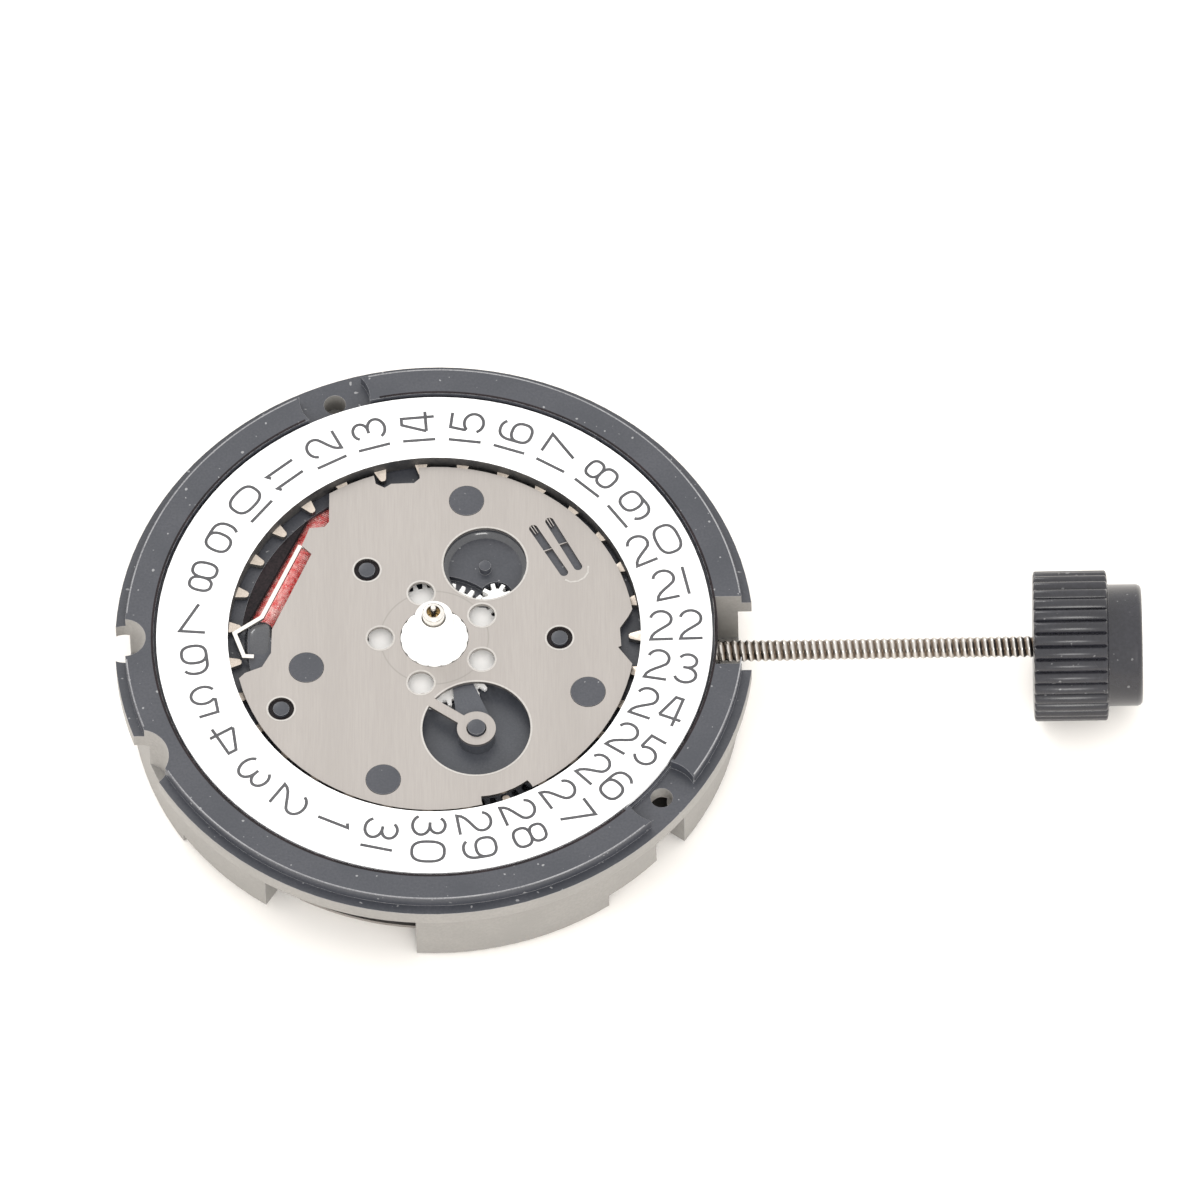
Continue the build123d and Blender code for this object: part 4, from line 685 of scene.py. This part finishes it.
    def build_bump(self) -> None:
        """Raise the rounded block beside the coil: z = foot + height (1 - d^2.5)^(1/2), where d is
        how far out a place lies."""
        rows, steps = self.bump_grid
        out, turn = np.linspace(0.0, 1.0, rows)[:, None], around(steps)[None, :]
        x = self.bump_at[0] + self.bump_reach[0] * out * bent(np.cos(turn), self.bump_corner)
        y = self.bump_at[1] + self.bump_reach[1] * out * bent(np.sin(turn), self.bump_corner)
        height = self.bump_top_z - self.bump_under_z
        z = self.bump_under_z + height * (1 - out ** self.bump_dome) ** 0.5
        foot = tuple(range((rows - 1) * steps, rows * steps))
        bump = make_piece("rounded_block", grid(x, y, z), sheet_faces(rows, steps) + [foot])
        dress(bump, GLOSS_PLASTIC, shading=Shading.ROUND)

    def build_slot_marks(self) -> None:
        """Dress the two slots with prongs at the upper end and a bar across."""
        parts = []
        for upper, lower in self.slot_ends:
            start, end = np.array(upper), np.array(lower)
            way = (end - start) / np.linalg.norm(end - start)
            side = np.array([-way[1], way[0]])
            length = float(np.linalg.norm(end - start))
            half, bar = self.slot_width * 0.5, length * self.bar_share
            marks = [((-half * 1.1, shift), (self.prong_end, shift), self.prong_width)
                     for shift in self.prong_sides]
            marks.append(((bar, -half), (bar + self.bar_width, half), self.bar_width))
            for (a, b), (c, d), width in marks:
                first, last = start + way * a + side * b, start + way * c + side * d
                ahead = (last - first) / np.linalg.norm(last - first)
                aside = np.array([-ahead[1], ahead[0]]) * width * 0.5
                corners = [first - aside, first + aside, last + aside * 0.5, last - aside * 0.5]
                points = [(*corner, height) for height in (self.sheet_under_z, self.sheet_top_z)
                          for corner in corners]
                parts.append((np.array(points), BOX_FACES))
        dress(joined("slot_marks", parts), GUARD_STEEL)

    def build_rims(self) -> None:
        """Lay a raised rim of brighter steel round the holes, the eyelet's well and the tongue: a
        painted highlight on their punched edges.
        """
        half, full = self.rim_width * 0.5, around(64)
        holes = [(centre, self.hole_r) for centre in (*self.light_holes, *self.pins)]
        holes.insert(len(self.light_holes), (self.well_at, self.well_mouth_r))
        lines = [(circle(radius + half, full, centre), True) for centre, radius in holes]
        part = np.radians(np.linspace(*self.eyelet_turns, 90))
        lines.append((circle(self.eyelet_r + half, part, self.eyelet_at), False))
        lines.append((np.array(self.tongue), False))
        dress(joined("highlit_punched_rims", [
            ribbon(line, self.rim_width, self.sheet_top_z, self.rim_top_z, closed)
            for line, closed in lines]), GUARD_EDGE_HIGHLIGHT)

    def build_rim_lines(self) -> None:
        """Draw the rim's outer edge in light grey, a painted highlight, and its inner one beside
        the ring in near black, painted shade.
        """
        for name, radius, turns, width, finish in (
                ("highlit_rim_edge", self.worn_r, self.worn_turns, self.worn_width, PLATE_EDGE_HIGHLIGHT),
                ("shaded_rim_edge", self.shaded_r, self.shaded_turns, self.shaded_width,
                 SHADED_PLASTIC)):
            arcs = [np.radians(np.arange(first, last, self.line_step)) for first, last in turns]
            dress(joined(name, [
                ribbon(circle(radius, arc), width, self.rim_under_z, self.rim_line_z)
                for arc in arcs]), finish)

    def build_shades(self) -> None:
        """Line the small wells: a near-black ring round each pin, painted shade, and a glossy
        fillet at the foot of the upper well's wall, a quarter circle r = R - f (1 - cos t),
        z = floor + f (1 - sin t)."""
        low, high = self.sheet_under_z - self.seat_gap, self.sheet_under_z + self.seat_top
        inner, outer = self.pin_r + self.seat_gap, self.hole_r
        for number, pin in enumerate(self.pins, 1):
            ring = turned_profile(f"pin_shade_ring_{number}", [
                (inner, low), (outer, low), (outer, high), (inner, high)], pin, 48)
            # Each ring is near black: painted shade round the pin.
            dress(ring, SHADED_PLASTIC)
        arc = [(self.well_r - self.fillet_r * (1 - math.cos(step)),
                self.well_floor_z + self.fillet_r * (1 - math.sin(step)))
               for step in np.radians(np.linspace(0.0, 90.0, 10))]
        corner = (self.well_r - 0.001, self.well_floor_z - 0.002)
        fillet = turned_profile("well_fillet", arc + [corner], self.well_at, 96)
        dress(fillet, GLOSS_PLASTIC, shading=Shading.ROUND)

    def build(self, frame: dict) -> None:
        """Make the plate, the guard and the jumper from their solids, with what lies on them."""
        plate = refined(frame, "main_plate", "moulded_plate", DARK_PLASTIC,
                        edge_mm=self.edge_mm, edge_slot=1)
        # Its rounded edges take the light grey edge material: a painted highlight.
        plate.data.materials.append(PLATE_EDGE_HIGHLIGHT.material())
        # Its walls and the scoops' floors take a lighter copy of its plastic: painted light.
        self.pale_walls(plate)
        refined(frame, "date_dial_guard", "bright_guard", GUARD_STEEL)
        refined(frame, "date_jumper", "jumper_arm", SPRING_STEEL)
        self.build_lip()
        self.build_bump()
        self.build_slot_marks()
        self.build_rims()
        self.build_rim_lines()
        self.build_shades()
        log.info("plate, guard and jumper built")


@dataclass
class Numerals:
    """The printed dates: thin lines of ink on the ring, read outwards from the middle."""

    height: float = 1.41
    stroke: float = 0.13
    spread: float = 1.07
    lone_spread: float = 1.23
    lone_out: float = 0.09
    middle: float = 0.33
    middle_r: float = 9.78
    first_angle: float = 0.92
    shift: Point = (0.05, 0.085)
    first_date: int = 22
    count: int = 31
    top_z: float = -0.094
    under_z: float = -0.104
    lift: float = 0.003

    def arc(self, centre: Point, reach: Point, start: float, end: float,
            power: float = 2.0) -> np.ndarray:
        """Return part of a superellipse: x = a |cos t|^(2/p), y = b |sin t|^(2/p), both signed."""
        turn = np.radians(np.linspace(start, end, max(6, int(abs(end - start) / 10))))
        x = centre[0] + reach[0] * bent(np.cos(turn), 2 / power)
        y = centre[1] + reach[1] * bent(np.sin(turn), 2 / power)
        return np.stack([x, y], axis=1)

    def strokes(self, sign: str) -> list[np.ndarray]:
        """Return the lines of one numeral in a box of height 1, from its lower left corner."""
        arc, join, line = self.arc, np.concatenate, np.array
        shapes = {
            "0": [arc((0.33, 0.5), (0.31, 0.47), 90, 450, 2.7)],
            "1": [line([(0.33, 0.03), (0.33, 0.97)])],
            "i": [line([(0.33, 0.03), (0.33, 0.97), (0.22, 0.90)])],
            "2": [join([arc((0.33, 0.70), (0.28, 0.27), 168, -38), [
                (0.44, 0.45), (0.29, 0.35), (0.16, 0.25), (0.08, 0.15), (0.04, 0.03),
                (0.64, 0.03)]])],
            "3": [join([arc((0.32, 0.75), (0.24, 0.22), 158, -90), [(0.22, 0.53)]]),
                  arc((0.32, 0.28), (0.29, 0.25), 90, -162)],
            "4": [line([(0.47, 0.02), (0.46, 0.97), (0.26, 0.97), (0.02, 0.27)]),
                  line([(0.02, 0.27), (0.64, 0.27)])],
            "5": [join([[(0.60, 0.97), (0.14, 0.97), (0.09, 0.55)],
                        arc((0.33, 0.31), (0.29, 0.28), 132, -158)])],
            "6": [join([arc((0.34, 0.62), (0.30, 0.35), 38, 180, 2.3), [(0.04, 0.32)]]),
                  arc((0.33, 0.32), (0.29, 0.29), 180, 540, 2.5)],
            "7": [line([(0.03, 0.97), (0.63, 0.97), (0.24, 0.03)])],
            "8": [arc((0.33, 0.75), (0.26, 0.22), 90, 450, 2.5),
                  arc((0.33, 0.28), (0.29, 0.25), 90, 450, 2.5)],
            "9": [arc((0.33, 0.68), (0.29, 0.29), 0, 360, 2.5),
                  join([[(0.62, 0.68)], arc((0.32, 0.38), (0.30, 0.35), 0, -142, 2.3)])],
        }
        return shapes[sign]

    def spelled(self, date: int) -> str:
        """Return the numerals of a date, with the flagged 1 where it stands alone."""
        return {1: "i", 11: "ii"}.get(date, str(date))

    def places(self, signs: str) -> tuple[float, ...]:
        """Return how far out each numeral of a date stands: a bar sits closer to its neighbour."""
        out = (-0.605, 0.605)
        if len(signs) == 1:
            out = (self.lone_out,)
        elif signs == "ii":
            out = (-0.35, 0.35)
        elif signs[0] == "1":
            out = (-0.60, 0.28)
        elif signs[1] == "1":
            out = (-0.20, 0.67)
        return tuple(self.middle_r + step for step in out)

    def build(self) -> None:
        """Print every date at its place on the ring."""
        parts = []
        for date in range(1, self.count + 1):
            angle = math.radians(self.first_angle - (date - self.first_date) * 360 / self.count)
            outward = np.array([math.cos(angle), math.sin(angle)])
            upward = np.array([-math.sin(angle), math.cos(angle)])
            signs = self.spelled(date)
            spread = self.lone_spread if len(signs) == 1 else self.spread
            for sign, place in zip(signs, self.places(signs)):
                for rank, stroke in enumerate(self.strokes(sign)):
                    x = place + (stroke[:, :1] - self.middle) * spread * self.height
                    y = (stroke[:, 1:] - 0.5) * self.height
                    line = x * outward + y * upward + np.array(self.shift)
                    top_z = self.top_z + rank * self.lift
                    parts.append(ribbon(line, self.stroke, self.under_z, top_z))
        dress(joined("date_numerals", parts), PRINTING, "date_ring_body")
        log.info("numerals printed: %d dates", self.count)


@dataclass
class DateRing:
    """The ring with its printed dates and its inner teeth."""

    edge_mm: float = 0.02
    track_r: float = 8.395
    track_z: float = -0.5
    wall_r: float = 8.6
    numerals: Numerals = field(default_factory=Numerals)

    def build(self, frame: dict) -> None:
        """Make the ring from its solid and print the dates."""
        ring = refined(frame, "date_ring", "printed_ring", RING_WHITE, "date_ring_body",
                       self.edge_mm)
        ring.data.materials.append(RING_METAL.material())
        ring.data.materials.append(TRACK.material())
        for face in ring.data.polygons:
            middle = face.center
            out = math.hypot(middle.x, middle.y)
            if out < self.track_r * MM and middle.z < self.track_z * MM:
                face.material_index = 1 if face.normal.z > 0.5 else 2
            elif out < self.wall_r * MM and abs(face.normal.z) < 0.5:
                face.material_index = 2
        self.numerals.build()


@dataclass
class HandWorks:
    """What stands up through the guard: the hour wheel, the minute pipe and the seconds pivot."""

    edge_mm: float = 0.025
    pipe_edge_mm: float = 0.015
    skirt_r: float = 1.325
    skirt_inner_r: float = 0.98
    lobe: float = 0.05
    lobes: int = 16
    skirt_under_z: float = -0.55
    skirt_top_z: float = -0.33

    def build_skirt(self) -> None:
        """Round the hour wheel's collar: a row is a radius and its share of the lobes' wave,
        |cos(n t / 2)|^0.6."""
        lobe = self.lobe * np.abs(np.cos(around(self.lobes * 12) * self.lobes * 0.5)) ** 0.6
        low, top = self.skirt_under_z, self.skirt_top_z
        wide, inner = self.skirt_r, self.skirt_inner_r
        rows = [(inner, low, 0.0), (wide - 0.04, low, 0.8), (wide, low + 0.03, 1.0),
                (wide, top - 0.06, 1.0), (wide - 0.02, top - 0.02, 0.8), (wide - 0.08, top, 0.3),
                (inner + 0.12, top + 0.02, 0.0), (inner, top, 0.0), (inner, low, 0.0)]
        radius = np.stack([base + share * lobe for base, _, share in rows])
        skirt = turned("lobed_collar", radius, [height for _, height, _ in rows])
        dress(skirt, WHITE_PLASTIC, "hour_wheel_body", shading=Shading.ROUND)

    def build(self, frame: dict) -> None:
        """Make the hour wheel, the domed pipe and the fine arbor."""
        refined(frame, "hour_wheel", "white_hour_wheel", WHITE_PLASTIC, "hour_wheel_body",
                self.edge_mm)
        self.build_skirt()
        for node, name in (("cannon_pinion", "minute_pipe"),
                           ("second_wheel", "seconds_wheel_and_pivot")):
            refined(frame, node, name, TURNED_STEEL, f"{node}_body", self.pipe_edge_mm)
        log.info("hand works built")


@dataclass
class StemAndCrown:
    """The winding stem with its long thread, and the ribbed test crown."""

    stem_z: float = -1.84
    square_start: float = 6.45
    shoulder: float = 8.7
    groove: float = 8.95
    groove_w: float = 0.3
    groove_r: float = 0.36
    square: float = 0.52
    bearing_r: float = 0.6
    thread_start: float = 11.3
    thread_r: float = 0.45
    thread_depth: float = 0.085
    thread_fade: float = 0.4
    thread_pitch: float = 0.292
    crown_x: float = 24.34
    crown_r: float = 3.055
    ridge_h: float = 0.19
    ridges: int = 34
    knurl: float = 3.05
    step_r: float = 2.48
    length: float = 4.44
    bore_depth: float = 2.6

    def lying(self, name: str, along: np.ndarray, radius: np.ndarray,
              turn: np.ndarray) -> Piece:
        """Make a surface round the stem's axis, closed by a point at both ends: x = s,
        y = r(s, t) cos t, z = axis + r(s, t) sin t, with s along it and t its turn."""
        rows, steps = radius.shape
        points = grid(along[:, None], radius * np.cos(turn), self.stem_z + radius * np.sin(turn))
        faces = sheet_faces(rows, steps)
        ends = np.array([(along[0], 0.0, self.stem_z), (along[-1], 0.0, self.stem_z)])
        first, last, row = len(points), len(points) + 1, (rows - 1) * steps
        for index in range(steps):
            after = (index + 1) % steps
            faces += [(first, after, index), (last, row + index, row + after)]
        return make_piece(name, np.concatenate([points, ends]), faces)

    def build_stem(self) -> None:
        """Make the stem: r = half side / max(|cos t|, |sin t|) on the square, and a triangle wave
        of x / pitch - t / 2 pi on the thread."""
        turn = around(32)
        flat = self.square * 0.5 / np.maximum(np.abs(np.cos(turn)), np.abs(np.sin(turn)))
        wide, groove_end, start = self.bearing_r, self.groove + self.groove_w, self.thread_start
        plain = [
            (self.square_start, flat * 0.96), (self.square_start + 0.02, flat),
            (self.shoulder, flat), (self.shoulder, wide - 0.03), (self.shoulder + 0.03, wide),
            (self.groove, wide),
            (self.groove, self.groove_r), (groove_end, self.groove_r), (groove_end, wide),
            (start - 0.04, wide), (start, wide - 0.04)]
        places = np.arange(start, self.crown_x + self.bore_depth, self.thread_pitch / 8)
        wave = np.abs(((places[:, None] / self.thread_pitch - turn / (2 * math.pi)) % 1.0) * 2 - 1)
        fade = np.clip((places - start) / self.thread_fade, 0.0, 1.0)[:, None]
        threaded = self.thread_r - self.thread_depth * fade * np.clip(wave * 1.2 - 0.1, 0.0, 1.0)
        along = np.concatenate([[place for place, _ in plain], places])
        rows = np.concatenate([[row * np.ones_like(turn) for _, row in plain], threaded])
        stem = self.lying("threaded_stem", along, rows, turn)
        dress(stem, THREAD_STEEL, "stem_body", "winding_stem", Shading.ROUND)

    def build_crown(self) -> None:
        """Make the crown: a station is a place, a radius and its share of the ridges' wave,
        |cos(n t / 2)|^0.7."""
        turn = around(self.ridges * 12)
        ridge = np.abs(np.cos(turn * self.ridges * 0.5)) ** 0.7
        root, low, step = self.crown_r - self.ridge_h, self.thread_r, self.step_r
        knurl, length = self.knurl, self.length
        stations = [
            (self.bore_depth, low, 0.0), (0.0, low, 0.0), (0.0, root - 0.30, 0.0),
            (0.01, root - 0.08, 0.0), (0.025, root, 0.2), (0.06, root, 0.8), (0.12, root, 1.0),
            (knurl - 0.12, root, 1.0), (knurl - 0.06, root, 0.8), (knurl - 0.025, root, 0.2),
            (knurl - 0.01, root - 0.08, 0.0), (knurl, root - 0.14, 0.0), (knurl, step + 0.05, 0.0),
            (knurl + 0.05, step, 0.0), (length - 0.22, step, 0.0),
            (length - 0.10, step - 0.04, 0.0), (length - 0.02, step - 0.14, 0.0),
            (length, step - 0.26, 0.0)]
        along = np.array([self.crown_x + place for place, _, _ in stations])
        radius = np.stack([base + share * self.ridge_h * ridge for _, base, share in stations])
        crown = self.lying("ribbed_crown", along, radius, turn)
        dress(crown, CROWN_PLASTIC, "stem_body", "test_crown", Shading.ROUND)

    def build(self) -> None:
        """Make the stem and its crown."""
        self.build_stem()
        self.build_crown()
        log.info("stem and crown built")


@dataclass
class Coil:
    """The wound coil of the stepping motor."""

    distance: float = 7.0
    angle: float = 153.43
    near: float = -2.25
    far: float = 4.3
    axis_z: float = -2.3
    outer_r: float = 1.08
    inner_r: float = 0.72
    pitch: float = 0.085
    ripple: float = 0.03
    wander: float = 0.03
    steps: int = 48

    def build(self) -> None:
        """Wind the coil: r = R - ripple (1 - |sin(pi s / pitch)|) - a slow wander of s and t."""
        turn = around(self.steps)
        places = np.arange(self.near, self.far, self.pitch / 6)
        far_along = places[:, None]
        wind = np.abs(np.sin(math.pi * (far_along / self.pitch + turn / (2 * math.pi))))
        slow = np.sin(far_along * 5.1 + 2 * np.sin(turn * 2)) * np.cos(turn * 3 + far_along * 1.7)
        outer = self.outer_r - self.ripple * (1 - wind) - self.wander * (0.5 + 0.5 * slow)
        bore = np.full((1, self.steps), self.inner_r)
        rows = np.concatenate([bore, outer, bore, bore])
        along = np.concatenate([[self.near], places, [self.far, self.near]])[:, None]
        angle, heading, across = (math.radians(self.angle + extra) for extra in (0, -90, 180))
        side = rows * np.cos(turn)
        x = self.distance * math.cos(angle) + along * math.cos(heading) + side * math.cos(across)
        y = self.distance * math.sin(angle) + along * math.sin(heading) + side * math.sin(across)
        points = grid(x, y, self.axis_z + rows * np.sin(turn))
        winding = make_piece("wound_coil", points, sheet_faces(len(rows), self.steps))
        dress(winding, ENAMEL, replaced="coil_winding", shading=Shading.ROUND)
        log.info("coil wound")


@dataclass
class InnerWorks:
    """The pieces that keep their solids, each with its own finish."""

    finishes: dict[Finish, str] = field(default_factory=lambda: {
        BLACK_PLASTIC: "date_driving_wheel date_corrector_wheel coil_bobbin",
        WHITE_PLASTIC: "minute_wheel",
        TURNED_STEEL: "setting_wheel rotor coil_screws bridge_screws cover_screws clutch_wheel",
        BRASS: "centre_wheel third_wheel fifth_wheel train_bridge",
        MAGNET: "rotor_magnet", SOFT_IRON: "stator coil_core", CELL_STEEL: "battery",
        LAMINATE: "coil_lead_board circuit_board", RESIN: "ic_module",
        CRYSTAL_CAN: "quartz_crystal", GUARD_STEEL: "circuit_cover",
        SPRING_STEEL: "battery_minus_contact battery_plus_clamp setting_lever yoke reset_lever"})

    def build(self, frame: dict) -> None:
        """Give each node its finish."""
        for finish, nodes in self.finishes.items():
            for node in nodes.split():
                for slot in frame["nodes"][node].material_slots:
                    slot.material = finish.material()
        log.info("finishes given to the inner works")


@dataclass
class Studio:
    """The pale floor, the soft light and the camera."""

    target: Triple = (6.7534, 1.4761, -0.10)
    right: Triple = (0.99984484, -0.00906581, -0.01510345)
    up: Triple = (0.01558604, 0.85482207, 0.51868709)
    back: Triple = (0.00820844, -0.51884201, 0.85483074)
    distance: float = 1000.0
    lens: float = 737.3
    floor_z: float = -4.6
    floor_slope: float = -0.0088
    floor_from_x: float = -12.45
    floor_reach: float = 900.0
    room_tone: Triple = (1.0, 0.99, 0.975)
    room_strength: float = 1.5

    def build_camera(self) -> None:
        """Stand the camera where the photograph was taken."""
        data = bpy.data.cameras.new("camera")
        data.lens = self.lens
        data.sensor_width = 36.0
        data.clip_end = 10.0
        camera = placed("camera", data)
        place = Vector(self.target) + Vector(self.back) * self.distance
        turn = Matrix((self.right, self.up, self.back)).transposed().to_4x4()
        camera.matrix_world = Matrix.Translation(place * MM) @ turn
        bpy.context.scene.camera = camera

    def build_floor(self) -> None:
        """Lay the floor under the plate's edge and the crown, on which the movement leans."""
        reach = self.floor_reach
        corners = [(-reach, -reach), (reach, -reach), (reach, reach), (-reach, reach)]
        floor = make_piece("floor", np.array([
            (x, y, self.floor_z + self.floor_slope * (x - self.floor_from_x)) for x, y in corners]),
            [(0, 1, 2, 3)])
        floor.data.materials.append(PAPER.material())

    def build_light(self) -> None:
        """Light the scene from a bright room and two large soft lamps, behind and in front."""
        world = bpy.data.worlds.new("room")
        bpy.context.scene.world = world
        world.use_nodes = True
        room = world.node_tree.nodes["Background"]
        room.inputs["Color"].default_value = (*self.room_tone, 1.0)
        room.inputs["Strength"].default_value = self.room_strength
        for name, place, size, power, tone in (
                ("window", (-150.0, 290.0, 190.0), 130.0, 0.34, (1.0, 1.0, 1.0)),
                ("front_lamp", (30.0, -240.0, 170.0), 110.0, 0.30, (1.0, 0.985, 0.96))):
            data = bpy.data.lights.new(name, "AREA")
            data.size = size * MM
            data.energy = power
            data.color = tone
            lamp = placed(name, data)
            aim = Vector(place).to_track_quat("Z", "Y").to_matrix().to_4x4()
            lamp.matrix_world = Matrix.Translation(Vector(place) * MM) @ aim
        bpy.context.scene.view_settings.view_transform = "Standard"

    def build(self) -> None:
        """Make the floor, the light and the camera."""
        self.build_camera()
        self.build_floor()
        self.build_light()
        log.info("studio built")


def main() -> None:
    """Load the frame and build every sub-assembly in order."""
    logging.basicConfig(level=logging.INFO, format="%(message)s")
    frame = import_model()
    InnerWorks().build(frame)
    Plate().build(frame)
    DateRing().build(frame)
    HandWorks().build(frame)
    StemAndCrown().build()
    Coil().build()
    Studio().build()


if __name__ == "__main__":
    main()
